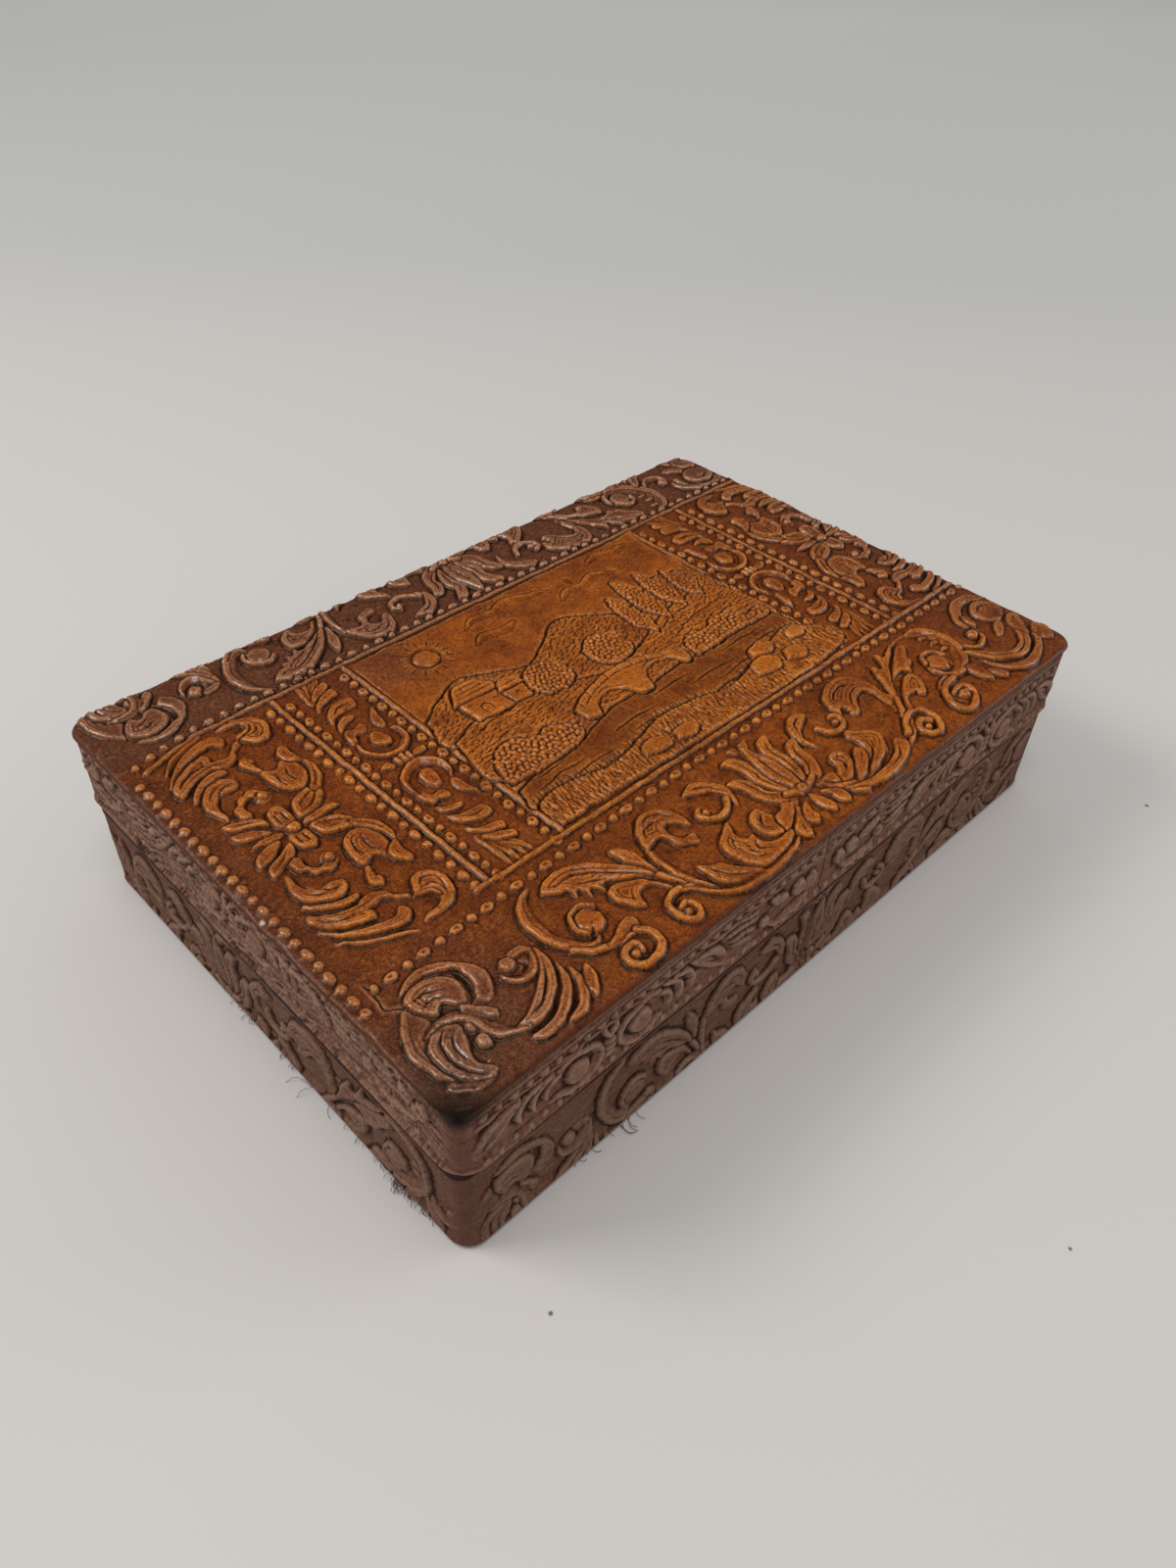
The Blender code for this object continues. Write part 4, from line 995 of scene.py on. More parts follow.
def with_notches(points, normals):
    """Adds a pair of close points at each side of the hinge notches, so that the sides are upright."""
    rows = np.hstack([points, normals])
    for edge in (x + side * HINGE_NOTCH_HALF for x in HINGE_PLACES for side in (-1, 1)):
        on_back = (rows[:, 3] > 0.99) & (rows[:, 1] > 0)
        xs = rows[on_back, 0]
        if not xs.min() <= edge <= xs.max():
            continue
        order = np.sign(xs[-1] - xs[0])
        at = np.nonzero(on_back)[0][np.argmin(np.abs(xs - edge))]
        pair = [(edge + side * 0.02 * order, rows[at, 1], 0, 1) for side in (-1, 1)]
        before = (np.arange(len(rows)) < at) | (on_back & ((rows[:, 0] - edge) * order < 0))
        clear = (np.abs(rows[:, 0] - edge) > 0.08) | (rows[:, 3] < 0.99)
        rows = np.vstack([rows[clear & before], pair, rows[clear & ~before]])
    return rows[:, :2], rows[:, 2:]


def strip_piece(name, faces, half_x, half_y, corner, low, high, left_half, step, depth, lid):
    """One leather strip round half the box: relief outside, plain inside."""
    points, normals = with_notches(*perimeter(half_x, half_y, corner, left_half, step))
    (x, y), (facing_x, facing_y) = points.T, normals.T
    columns = len(points)
    in_notch = np.zeros(columns, bool)
    for place in HINGE_PLACES:
        in_notch |= (np.abs(x - place) < HINGE_NOTCH_HALF) & (y > half_y - 0.5)
    # How far along the face that it shows each column is
    front, end_on = facing_y < -0.7, np.abs(facing_x) > 0.7
    along = np.select([facing_x > 0.7, facing_x < -0.7, facing_y > 0.7, front],
                      [y + half_y, half_y - y, half_x - x, x + half_x])
    from_corner = np.minimum(along, np.where(end_on, 2 * half_y, 2 * half_x) - along)
    # The seam sinks towards the middle of the front
    seam = SEAM_RISE * (1 - smoothstep((from_corner - 1) / 14) * front)
    bottom = np.where(in_notch, LID_NOTCH, low + seam) if lid else np.full(columns, low)
    top = np.full(columns, high) if lid else np.where(in_notch, BASE_NOTCH, high + seam)
    t = np.linspace(0, 1, int(round((high - low) / step)) + 1)
    ends = np.array([0.12, 0.3]) * step / (high - low)
    t = np.sort(np.concatenate([t, ends, 1 - ends]))
    rows = len(t)
    z = bottom + (top - bottom) * t[:, None]
    from_low, from_high = z - bottom, top - z
    plain = smoothstep((from_corner - 1.5) / 4.5)
    joint = np.where(end_on, 1.0, smoothstep((np.abs(x) - 0.4) / 1.4))
    height, hollow, crest = np.zeros((3, rows, columns))
    grid_along = np.broadcast_to(along, z.shape)
    for which, relief in ((end_on, faces[1]), (~end_on, faces[0])):
        for target, source in ((height, relief.h), (hollow, relief.hollow), (crest, relief.crest)):
            level = z[:, which] - (LID_PATTERN_LOW if lid else low)
            target[:, which] = relief.sampled(source, grid_along[:, which], level)
            target[:, which] *= (plain * joint)[which]
    inset = depth * (1 - np.minimum(height / SIDE_TALL, 1))
    # The stretched corners stand level with the ornament
    inset = inset * plain + 0.15 * depth * (1 - plain)
    grime = np.zeros_like(z)
    if lid:
        # Away from the front's middle the cut edge stands proud of a groove; the turned-in top is flush
        edge = np.where(front, bell(from_corner, 0, 20.0), 1.0)
        lip = smoothstep((0.5 - from_low) / 0.3) * edge
        groove = bell(from_low, 0.85, 0.25) * edge
        inset = np.minimum(inset, np.where(front, 0.4, depth) + depth * smoothstep((from_low - 1.6) / 0.6))
        inset = np.minimum(inset + 0.35 * groove, depth + 0.2) * (1 - lip)
        inset = np.minimum(inset, depth * (1 - 0.75 * smoothstep(1 - from_high / 1.4)))
        grime = bell(from_corner, 0, 8.0) * (x < 0) * (y < 0) * smoothstep((6.0 - from_high) / 3.4)
        inset = inset + 0.3 * grime
        # The groove is painted dark with the hollows, as shade and dirt
        hollow = np.maximum(hollow, 0.6 * groove)
        worn = 0.1 * np.sin(along / 7.3) * np.sin(along / 3.1 + 1) * lip
        round_low, round_high = 0.12, 0.25
    else:
        # The base's rim is plain, and is painted dark as the shadow under the lid's edge
        turned = smoothstep((np.abs(facing_x) - 0.1) / 0.8)
        shaded = 1.75 + 1.85 * turned + 0.3 * turned * np.sin(along / 11.0)
        rim = smoothstep((shaded + 0.9 - from_high) / 0.9)
        foot = smoothstep((2.0 - from_low) / 1.8)
        inset = (inset * (1 - rim) + 0.3 * rim) * (1 - foot) + 0.1 * foot
        hollow = np.maximum(hollow * (1 - rim), smoothstep((shaded - from_high) / 0.7))
        worn = 0.0
        round_low, round_high = 0.35, 0.3
    for distance, radius in ((from_low, round_low), (from_high, round_high)):
        w = np.clip(1 - distance / radius, 0, 1)
        inset = inset + radius * (1 - np.sqrt(1 - w * w))
    inset = np.clip(inset + np.abs(worn), 0.0, STRIP_WALL - 0.2)
    outer = np.stack([x - facing_x * inset, y - facing_y * inset, z], 2)
    inner = np.stack([np.column_stack([points - normals * STRIP_WALL, level]) for level in (bottom, top)])
    row0 = np.arange(columns)
    row1 = (rows - 1) * columns + row0
    low_inner, high_inner = rows * columns + row0, (rows + 1) * columns + row0
    column0 = np.arange(rows) * columns
    flat = [bridged(low_inner, row0), bridged(row1, high_inner), bridged(high_inner, low_inner),
            np.concatenate([low_inner[:1], column0, high_inner[:1]]),
            np.concatenate([high_inner[-1:], (column0 + columns - 1)[::-1], low_inner[-1:]])]
    lip_shown = (0.2 + 0.8 * bell(from_corner, 0, 22)) * smoothstep((0.4 - from_low) / 0.25) * lid
    values = {"rise": height / SIDE_TALL, "hollow": hollow, "crest": crest, "lip": lip_shown, "grime": grime,
              "corner": np.broadcast_to(1 - smoothstep((from_corner - 4) / 7), z.shape),
              "lower": np.full(z.shape, 1.0 - lid)}
    values = {key: np.concatenate([value.ravel(), value[0], value[-1]]) for key, value in values.items()}
    everything = np.vstack([outer.reshape(-1, 3), inner.reshape(-1, 3)])
    return mesh_of(name, everything, [quads(rows, columns)], flat, values)


# Ornament of the side strips: x along the front, y above the strip's lower edge

LID_HALF = strokes("""
crest 2 1.3 1 49.8,2.7 47.4,3.4 44.2,2.4 41,2.8 38.5,4.5 37.7,7 39.1,9.5 42.4,11 45.8,11.2 48.6,10.4
dome 6 1.25 42.9,6.3
crest 1.7 1.25 1 46.6,10 49.2,8.8 50.2,6.8 49.8,4.8
crest 1.9 1.3 1 48.2,11.3 51.6,9.9 53.1,7.3 52.6,4.2
crest 1.9 1.3 1 51,11.5 54.8,9.9 56.3,7.2 55.6,4
form 0.5 1.3 60 55.8,11.5 60,11.6 64.2,9.8 66.6,6.2 66.2,3.4 63.2,4.2 60.4,6.2 57.8,8.8
cut 0.8 0.7 57.6,10.8 61.6,9 65,5.2
cut 0.6 0.5 60.2,8.4 63.2,6.4 65,4.4
crest 1.2 1.1 1 60.4,11.7 68,11.6 76,10.6
crest 1.2 1.1 1 66,9.9 70.6,9.8 76,8.8
crest 1.2 1.1 1 67.2,7.9 71.6,7.4 75.8,5.9
crest 1.1 1 1 67.8,5.9 71,5.4 74.6,3.9
form 0.4 1.25 120 79.4,10.9 82,10.7 84.8,9.4 85.6,7.7 83.4,7.5 80.8,8.6
dome 3.2 1.25 78.2,5.7
crest 1.9 1.25 -1 79.2,3.9 82.6,2.6 86.6,2.6 90.4,3.9 92.4,6.6
dome 4.4 1.3 88.6,8.3
form 0.3 1.2 0 89.8,5.6 92.6,5.4 94.6,7.5 93.4,9.8 91.2,8.6
pit 2.8 1 84,5.6 86.6,5.3
""")
LID_KNOT = strokes("""
dome 1.3 1.1 33.4,11.4 35,9.4 36.6,11.4
dome 1.1 1 34,7.7 36,7.7
dome 1.1 1 34,6.1 36,6.1
dome 1.1 1 34.2,4.5 35.8,4.5
""")


def side_beads(relief, length, y, size):
    """A row of beads along a strip, every second one longer."""
    spacing = 3.32
    for k in range(int(length / spacing)):
        relief.bead(3.0 + spacing * k, y, size * (1.25 if k % 2 else 1.0), size, 0.6)


def side_reliefs():
    """Height maps of the four kinds of side face: lid front and end, base front and end."""
    strip = LID_LOW[2] - LID_PATTERN_LOW
    tall = BASE_RIM + SEAM_RISE - BASE_STRIP_LOW[2] + 0.3
    lid_front, lid_end, base_front, base_end = (Relief(*size) for size in ((LENGTH, strip), (DEPTH, strip),
                                                                           (LENGTH, tall), (DEPTH, tall)))
    for relief in (lid_front, lid_end, base_front, base_end):
        relief.roundness = 0.7
    # The two discs stand in the middle of a long leaf scroll, which repeats to both sides
    for ornament, across, offset in ((LID_HALF + LID_KNOT, 1, 0), (LID_HALF, -1, 70),
                                     (LID_HALF + LID_KNOT, -1, LENGTH), (LID_HALF, 1, LENGTH - 70)):
        lid_front.draw(ornament, (across, 1), (offset, 0))
    # The ends of the lid are worn flatter
    lid_end.gain = 0.7
    with lid_end.placed(offset=(28.4, 3.8)):
        lid_end.draw(LID_HALF + LID_KNOT)
        lid_end.draw(LID_HALF, (-1, 1), (70, 0))
    for relief, length, upper, lower, ridges in ((lid_front, LENGTH, 13.5, 1.05, (15.0, 12.1)),
                                                 (lid_end, DEPTH, 16.2, 3.1, (17.6, 1.9))):
        side_beads(relief, length, upper, 1.8)
        side_beads(relief, length, lower, 1.4)
        for y in ridges:
            relief.stroke("dome", np.array([(2, y), (length - 2, y)]), 0.8, 0.35)
    for relief, offset in ((base_front, (-0.9, -8.3)), (base_end, (-50.6, -10.3))):
        with relief.placed((1, 1.04), offset):
            draw_border(relief)
    faces = ((lid_front, 0.05), (lid_end, 0.14), (base_front, 0.04), (base_end, 0.06))
    return [relief.finish(0.12, 20 + k, 0.03, wrinkles) for k, (relief, wrinkles) in enumerate(faces)]


# Materials

def linear(colour):
    return tuple(c / 12.92 if c <= 0.04045 else ((c + 0.055) / 1.055) ** 2.4 for c in colour[:3]) + (1.0,)


def is_socket(value):
    return isinstance(value, bpy.types.NodeSocket)


def new_node(tree, kind, inputs=None, **fields):
    """A node with its fields set and its inputs linked or given their values."""
    made = tree.nodes.new(kind)
    for key, value in fields.items():
        setattr(made, key, value)
    for key, value in (inputs or {}).items():
        if is_socket(value):
            tree.links.new(value, made.inputs[key])
        else:
            made.inputs[key].default_value = value
    return made


class Finish:
    """A material under construction: colours laid one over another, and bumps one on another."""

    def __init__(self, name, roughness, **settings):
        self.material = bpy.data.materials.new(name)
        self.material.use_nodes = True
        self.material.node_tree.nodes.clear()
        settings = {key.replace("_", " "): value for key, value in settings.items()}
        self.shader = self.node("BsdfPrincipled", {"Roughness": roughness, **settings})
        self.node("OutputMaterial", {"Surface": self.shader.outputs["BSDF"]})
        self.coordinates = self.node("TexCoord").outputs["Object"]
        self.base = self.normal = None

    def node(self, kind, inputs=None, **fields):
        return new_node(self.material.node_tree, "ShaderNode" + kind, inputs, **fields)

    def feed(self, name, value):
        self.material.node_tree.links.new(value, self.shader.inputs[name])

    def attribute(self, name):
        return self.node("Attribute", attribute_name=name).outputs["Fac"]

    def stretched(self, scale):
        return self.node("Mapping", {"Scale": scale, "Vector": self.coordinates}).outputs["Vector"]

    def noise(self, scale, detail=4.0, roughness=0.6, vector=None, distortion=0.0):
        inputs = {"Vector": vector or self.coordinates, "Scale": scale, "Detail": detail,
                  "Roughness": roughness, "Distortion": distortion}
        return self.node("TexNoise", inputs).outputs["Fac"]

    def cells(self, scale, feature="F1"):
        inputs = {"Vector": self.coordinates, "Scale": scale}
        return self.node("TexVoronoi", inputs, feature=feature).outputs["Distance"]

    def math(self, operation, *values, clamp=False):
        return self.node("Math", dict(enumerate(values)), operation=operation, use_clamp=clamp).outputs[0]

    def times(self, a, b):
        return self.math("MULTIPLY", a, b)

    def span(self, value, low, high, to_low=0.0, to_high=1.0):
        """The value from low to high, brought to another range and held there."""
        inputs = {"Value": value, "From Min": low, "From Max": high, "To Min": to_low, "To Max": to_high}
        return self.node("MapRange", inputs, clamp=True).outputs["Result"]

    def mix(self, factor, a, b):
        a, b = (value if is_socket(value) else linear(value) for value in (a, b))
        return self.node("Mix", {"Factor": factor, "A": a, "B": b}, data_type="RGBA").outputs["Result"]

    def lay(self, colour, amount):
        """Lays a colour over what is there, as strongly as the amount says."""
        self.base = self.mix(amount, self.base, colour)

    def bump(self, height, strength, distance):
        inputs = {"Height": height, "Strength": strength, "Distance": distance}
        if self.normal:
            inputs["Normal"] = self.normal
        self.normal = self.node("Bump", inputs).outputs["Normal"]

    def done(self):
        self.feed("Base Color", self.base)
        if self.normal:
            self.feed("Normal", self.normal)
        return self.material


def top_leather_finish(colours):
    f = Finish("top_leather", 0.4, Coat_Roughness=0.16, Specular_IOR_Level=0.35,
               Specular_Tint=(1.0, 0.78, 0.56, 1))
    rise, hollow, crest, age_and_sheen, gold, rim, tint, grime, pale = map(
        f.attribute, ("rise", "hollow", "crest", "age_and_sheen", "gold", "rim", "tint", "grime", "pale"))
    broad = f.noise(45, 4, 0.55)
    blotch = f.noise(190, 5, 0.65)
    mottle = f.noise(1500, 3, 0.65)
    grain = f.noise(3400, 2, 0.6)
    f.base = f.mix(f.span(rise, 0.1, 0.85), colours.top_ground, colours.top_raised)
    f.lay(colours.top_gold, f.times(gold, f.span(blotch, 0.35, 0.6, 0.2, 1.0)))
    f.lay(colours.top_bead, f.span(tint, 0.0, 1.0, 0.0, 0.6))
    # Dark tint: darker fields, and painted shade in the cuts and pits
    f.lay(colours.top_dark_stain_and_shade, f.span(tint, 0.0, -0.8, 0.0, 0.85))
    # Painted highlight and wear: the crests are laid lighter and golden
    f.lay(colours.top_crest_wear_and_highlight, f.times(crest, f.span(blotch, 0.35, 0.6, 0.3, 0.8)))
    f.lay(colours.top_red, f.times(f.span(broad, 0.5, 0.7), 0.45))
    # Aged patches: darker leather under a painted grey sheen, with painted highlights on the crests
    aged = f.mix(f.span(rise, 0.1, 0.8), colours.aged_ground_and_sheen, colours.aged_raised_and_sheen)
    f.lay(f.mix(crest, aged, colours.aged_crest_wear_and_highlight), f.times(age_and_sheen, f.span(blotch, 0.25, 0.6, 0.6, 1.0)))
    f.lay(colours.top_crest_wear_and_highlight, f.span(grain, 0.46, 0.3, 0.0, 0.24))
    f.lay(colours.top_edge, f.span(rim, 0.05, 0.6, 0.0, 0.7))
    f.lay(colours.top_dark_stain_and_shade, f.span(mottle, 0.5, 0.66, 0.0, 0.6))
    f.lay(colours.top_dark_stain_and_shade, f.span(grain, 0.52, 0.68, 0.0, 0.6))
    f.lay(colours.crease_shade_and_dirt, f.times(f.span(f.noise(300, 2, 0.5), 0.66, 0.74), 0.5))
    f.lay(colours.side_dark, f.span(rim, 0.7, 0.95))
    # Painted shade and dirt: the hollows are darkened where shade falls and dirt gathers
    f.lay(colours.crease_shade_and_dirt, f.times(f.span(hollow, 0.28, 0.9), f.span(blotch, 0.35, 0.6, 0.6, 1.0)))
    f.lay(colours.grime, grime)
    f.lay(colours.chip, f.math("ADD", pale, f.span(f.cells(70), 0.013, 0.008, 0.0, 0.6), clamp=True))
    gloss = f.span(f.noise(420), 0.3, 0.7, 0.27, 0.45)
    f.feed("Roughness", f.math("MULTIPLY_ADD", grime, 0.6, gloss, clamp=True))
    # The polish has stayed on what stands up, and is gone from the hollows and the rim
    polish = f.span(f.math("MULTIPLY_ADD", hollow, -0.8, rise), -0.1, 0.5, 0.1, 1.0)
    polish = f.times(polish, f.span(rim, 0.0, 0.5, 1.0, 0.0))
    f.feed("Coat Weight", f.times(polish, f.span(age_and_sheen, 0.0, 0.7, 0.45, 1.0)))
    f.bump(f.cells(1300, "SMOOTH_F1"), 0.5, 0.00008)
    f.bump(mottle, 0.6, 0.00016)
    f.bump(f.noise(190, 2, 0.5), 0.4, 0.0005)
    return f.done()


def side_leather_finish(colours):
    f = Finish("side_leather", 0.7, Specular_IOR_Level=0.1)
    rise, hollow, crest, corner, lip, lower, grime = map(
        f.attribute, ("rise", "hollow", "crest", "corner", "lip", "lower", "grime"))
    streaks = f.noise(620, 4, 0.6, f.stretched((0.3, 0.3, 1.0)), 0.4)
    mottle = f.noise(1000, 4, 0.65)
    plain = f.span(corner, 0.0, 0.8, 1.0, 0.2)
    f.base = f.mix(f.span(rise, 0.1, 0.8), colours.side_ground, colours.side_raised)
    f.lay(colours.side_red, f.times(f.span(f.noise(70), 0.42, 0.62), 0.6))
    f.lay(colours.side_corner, f.times(corner, 0.8))
    # Dust and painted sheen: streaks and crests of the sides are laid lighter and greyer
    f.lay(colours.side_dust_and_sheen, f.times(f.span(streaks, 0.5, 0.7, 0.0, 0.4), plain))
    f.lay(colours.side_dust_and_sheen, f.times(crest, 0.6))
    f.lay(colours.side_dark, f.span(mottle, 0.48, 0.7, 0.0, 0.6))
    f.lay(colours.side_dark, f.times(lower, 0.28))
    f.lay(colours.side_lip, f.times(lip, 0.85))
    # Painted shade and dirt: the hollows of the sides, and the base's rim under the lid, are darkened
    f.lay(colours.side_crease_shade_and_dirt, f.span(hollow, 0.3, 1.0, 0.0, 0.9))
    f.lay(colours.grime, grime)
    f.feed("Roughness", f.span(f.noise(500), 0.3, 0.7, 0.55, 0.8))
    f.bump(mottle, 0.6, 0.00014)
    f.bump(f.times(streaks, plain), 0.4, 0.00025)
    f.bump(f.noise(170, 4, 0.6, f.stretched((0.5, 0.5, 1.0))), 0.4, 0.0005)
    return f.done()


def felt_finish(colours):
    f = Finish("felt", 0.95, Sheen_Weight=0.35, Sheen_Roughness=0.6)
    f.base = f.mix(f.span(f.noise(900, 5, 0.7), 0.35, 0.65), colours.felt_dark, colours.felt_light)
    f.bump(f.noise(2200, 5, 0.7), 0.8, 0.0003)
    return f.done()


def fibre_finish(colours):
    return Finish("felt_fibre", 0.8, Specular_IOR_Level=0.2, Base_Color=linear(colours.fibre)).material


def wood_finish(name, dark, light, scale, along, roughness):
    """Planed wood: rings stretched along the board, fine pores and a little rise of the grain."""
    f = Finish(name, roughness, Coat_Weight=0.05, Coat_Roughness=0.4)
    run = f.stretched({"x": (0.05, 1.0, 1.0), "y": (1.0, 0.05, 1.0)}[along])
    pores = f.noise(scale * 9, 3, 0.6, run)
    bands = f.math("FRACT", f.times(f.noise(scale, 4, 0.55, run, 0.6), 7.0))
    f.base = f.mix(f.span(bands, 0.1, 0.95), dark, light)
    f.lay(dark, f.times(f.span(pores, 0.55, 0.75), 0.45))
    f.lay(dark, f.times(f.span(f.noise(30, 3, 0.5), 0.4, 0.7), 0.35))
    f.feed("Roughness", f.span(pores, 0.3, 0.7, roughness - 0.08, roughness + 0.12))
    f.bump(pores, 0.4, 0.0002)
    f.bump(bands, 0.15, 0.0002)
    return f.done()


def brass_finish(colours):
    f = Finish("aged_brass", 0.34, Metallic=1.0)
    f.base = f.mix(f.span(f.noise(420, 5), 0.35, 0.7), colours.brass, colours.brass_dark)
    f.feed("Roughness", f.span(f.noise(900, 3), 0.3, 0.7, 0.24, 0.5))
    f.bump(f.noise(1600, 4, 0.6, f.stretched((0.15, 1.0, 1.0))), 0.3, 0.0001)
    return f.done()


def finished(piece, material, body=None, replaced=None):
    """Gives a piece its material and slot and, unless it is a packed one, its body and what it replaces."""
    piece.data.materials.clear()
    piece.data.materials.append(material)
    if body:
        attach(piece, body)
    if replaced:
        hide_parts(replaced)


def shade(name, description, default):
    return FloatVectorProperty(name=name, description=description, default=default, size=3, min=0.0, max=1.0,
                               subtype="COLOR_GAMMA")


def number(name, description, default, low, high, unit="NONE"):
    return FloatProperty(name=name, description=description, default=default, min=low, max=high, unit=unit)


class LeatherColours(bpy.types.PropertyGroup):
    """Colours of the leather, the felt, the wood and the brass, as a screen shows them."""
    top_ground: shade("Top ground", "Leather between the ornament", (0.355, 0.134, 0.05))
    top_raised: shade("Top raised", "Raised ornament of the top", (0.56, 0.247, 0.055))
    top_gold: shade("Top gold", "Leather worn to gold", (0.68, 0.34, 0.032))
    # Wear and painted highlight on the crests
    top_crest_wear_and_highlight: shade("Top crest", "Rubbed crests of the top", (0.88, 0.54, 0.21))
    top_red: shade("Top red", "Redder patches of the top", (0.39, 0.14, 0.05))
    # Stains, and painted shade in the cuts and pits
    top_dark_stain_and_shade: shade("Top dark", "Dark stains of the top", (0.20, 0.075, 0.02))
    top_edge: shade("Top edge", "Rounded rim of the top", (0.34, 0.13, 0.06))
    # Aged leather with a painted grey sheen
    aged_ground_and_sheen: shade("Aged ground", "Darkened leather", (0.34, 0.20, 0.145))
    aged_crest_wear_and_highlight: shade("Aged crest", "Rubbed crests of darkened leather", (0.70, 0.50, 0.38))
    grime: shade("Grime", "Black grime at the rubbed corner", (0.03, 0.014, 0.009))
    aged_raised_and_sheen: shade("Aged raised", "Raised ornament of darkened leather", (0.41, 0.25, 0.175))
    top_bead: shade("Beads", "Rubbed beads and golden fields", (0.76, 0.42, 0.08))
    chip: shade("Chip", "Bare spot where the finish is gone", (0.80, 0.72, 0.62))
    # Painted shade and dirt in the hollows of the sides
    side_crease_shade_and_dirt: shade("Side crease", "Dirt in the hollows of the sides", (0.13, 0.045, 0.03))
    fibre: shade("Fibre", "Loose fibres of the felt", (0.36, 0.17, 0.145))
    # Painted shade and dirt in the hollows of the top
    crease_shade_and_dirt: shade("Crease", "Dirt in the hollows", (0.085, 0.028, 0.008))
    side_ground: shade("Side ground", "Leather of the sides", (0.46, 0.32, 0.25))
    side_raised: shade("Side raised", "Raised ornament of the sides", (0.53, 0.385, 0.31))
    side_red: shade("Side red", "Redder patches of the sides", (0.46, 0.285, 0.215))
    side_corner: shade("Side corner", "Plain upright corners", (0.42, 0.27, 0.22))
    # Dust, and painted sheen of the floor's light
    side_dust_and_sheen: shade("Side dust", "Rubbed and dusty leather", (0.64, 0.52, 0.45))
    side_lip: shade("Side lip", "Cut edge of the leather", (0.60, 0.46, 0.37))
    side_dark: shade("Side dark", "Dark grain of the sides", (0.28, 0.17, 0.12))
    felt_dark: shade("Felt dark", "Depth of the felt", (0.20, 0.09, 0.08))
    felt_light: shade("Felt light", "Nap of the felt", (0.34, 0.17, 0.15))
    cedar_dark: shade("Cedar dark", "Late wood of the lining", (0.44, 0.235, 0.14))
    cedar_light: shade("Cedar light", "Early wood of the lining", (0.70, 0.45, 0.29))
    case_dark: shade("Case dark", "Late wood of the case", (0.50, 0.36, 0.23))
    case_light: shade("Case light", "Early wood of the case", (0.74, 0.60, 0.43))
    brass: shade("Brass", "Bright brass", (0.78, 0.62, 0.33))
    brass_dark: shade("Aged brass", "Tarnished brass", (0.50, 0.37, 0.19))


class LeatherRelief(bpy.types.PropertyGroup):
    """Depth and fineness of the embossing."""
    top_depth: number("Top depth", "Deepest embossing of the top", 0.0013, 0.0002, 0.0016, "LENGTH")
    side_depth: number("Side depth", "Deepest embossing of the sides", 0.00105, 0.0002, 0.0012, "LENGTH")
    top_step: number("Top step", "Size of the top's mesh faces", 0.00027, 0.0002, 0.002, "LENGTH")
    side_step: number("Side step", "Size of the sides' mesh faces", 0.0003, 0.0002, 0.002, "LENGTH")


class FeltFibres(bpy.types.PropertyGroup):
    """Loose fibres round the felt."""
    count: IntProperty(name="Count", description="Loose fibres along the felt's edge",
                       default=130, min=0, max=2000)
    thickness: number("Thickness", "Thickness of a fibre", 0.00012, 0.00002, 0.0005, "LENGTH")
    length: number("Length", "Length of a fibre", 0.005, 0.001, 0.02, "LENGTH")
    seed: IntProperty(name="Seed", description="Which of the random arrangements", default=5, min=0, max=1000)


class StageLight(bpy.types.PropertyGroup):
    """Floor colour and light levels."""
    floor: shade("Floor", "Floor near the box", (0.805, 0.785, 0.765))
    middle: shade("Middle", "Floor behind the box", (0.785, 0.78, 0.765))
    # Painted light: the far floor is made lighter where the lamps' light falls off
    far: shade("Far floor", "Backdrop far behind the box", (0.93, 0.925, 0.90))
    overhead: number("Overhead", "Power of the soft box above", 2.5, 0.0, 200.0, "POWER")
    side: number("Side", "Power of the soft panel on the left", 5.1, 0.0, 200.0, "POWER")
    fill: number("Fill", "Power of the weak panel on the right", 2.5, 0.0, 100.0, "POWER")
    ambient: number("Ambient", "Strength of the light from all round", 0.5, 0.0, 5.0)
    mirrored: number("Mirrored", "Strength of the room as the leather mirrors it", 0.05, 0.0, 5.0)


class BOX_OT_top_leather(bpy.types.Operator):
    """Builds the embossed sheet on the lid, panel by panel"""
    bl_idname = "table_box.top_leather"
    bl_label = "Top Leather"

    def execute(self, context):
        settings = context.scene.table_box_relief
        relief = top_relief()
        material = top_leather_finish(context.scene.table_box_colours)
        step, depth = settings.top_step / MM, settings.top_depth / MM
        # Where the borders end, and where the picture begins and ends
        front, back = 33.6 - LID_Y, 110.4 - LID_Y
        left, right = 57.0 - LID_X, 147.5 - LID_X
        panels = {"top_front_border": (None, None, None, front), "top_back_border": (None, back, None, None),
                  "top_left_panels": (None, front, left, back), "top_picture": (left, front, right, back),
                  "top_right_panels": (right, front, None, back)}
        for name, box in panels.items():
            piece = top_piece(name, relief, box, step, depth)
            finished(piece, material, "lid", "lid_top_leather")
        return {"FINISHED"}


class BOX_OT_side_leather(bpy.types.Operator):
    """Builds the embossed strips round the lid and the base"""
    bl_idname = "table_box.side_leather"
    bl_label = "Side Leather"

    def execute(self, context):
        settings = context.scene.table_box_relief
        lid_front, lid_end, base_front, base_end = side_reliefs()
        material = side_leather_finish(context.scene.table_box_colours)
        step, depth = settings.side_step / MM, settings.side_depth / MM
        for side in ("left", "right"):
            lid = strip_piece(f"lid_strip_{side}", (lid_front, lid_end), LID_X, LID_Y, LID_CORNER,
                              LID_LIP, LID_LOW[2], side == "left", step, depth, True)
            base = strip_piece(f"base_strip_{side}", (base_front, base_end), BASE_X, BASE_Y, BASE_CORNER,
                               BASE_STRIP_LOW[2] - 0.3, BASE_RIM, side == "left", step, depth, False)
            for piece, body in ((lid, "lid"), (base, "base")):
                finished(piece, material, body, f"{body}_leather_{side}")
        return {"FINISHED"}


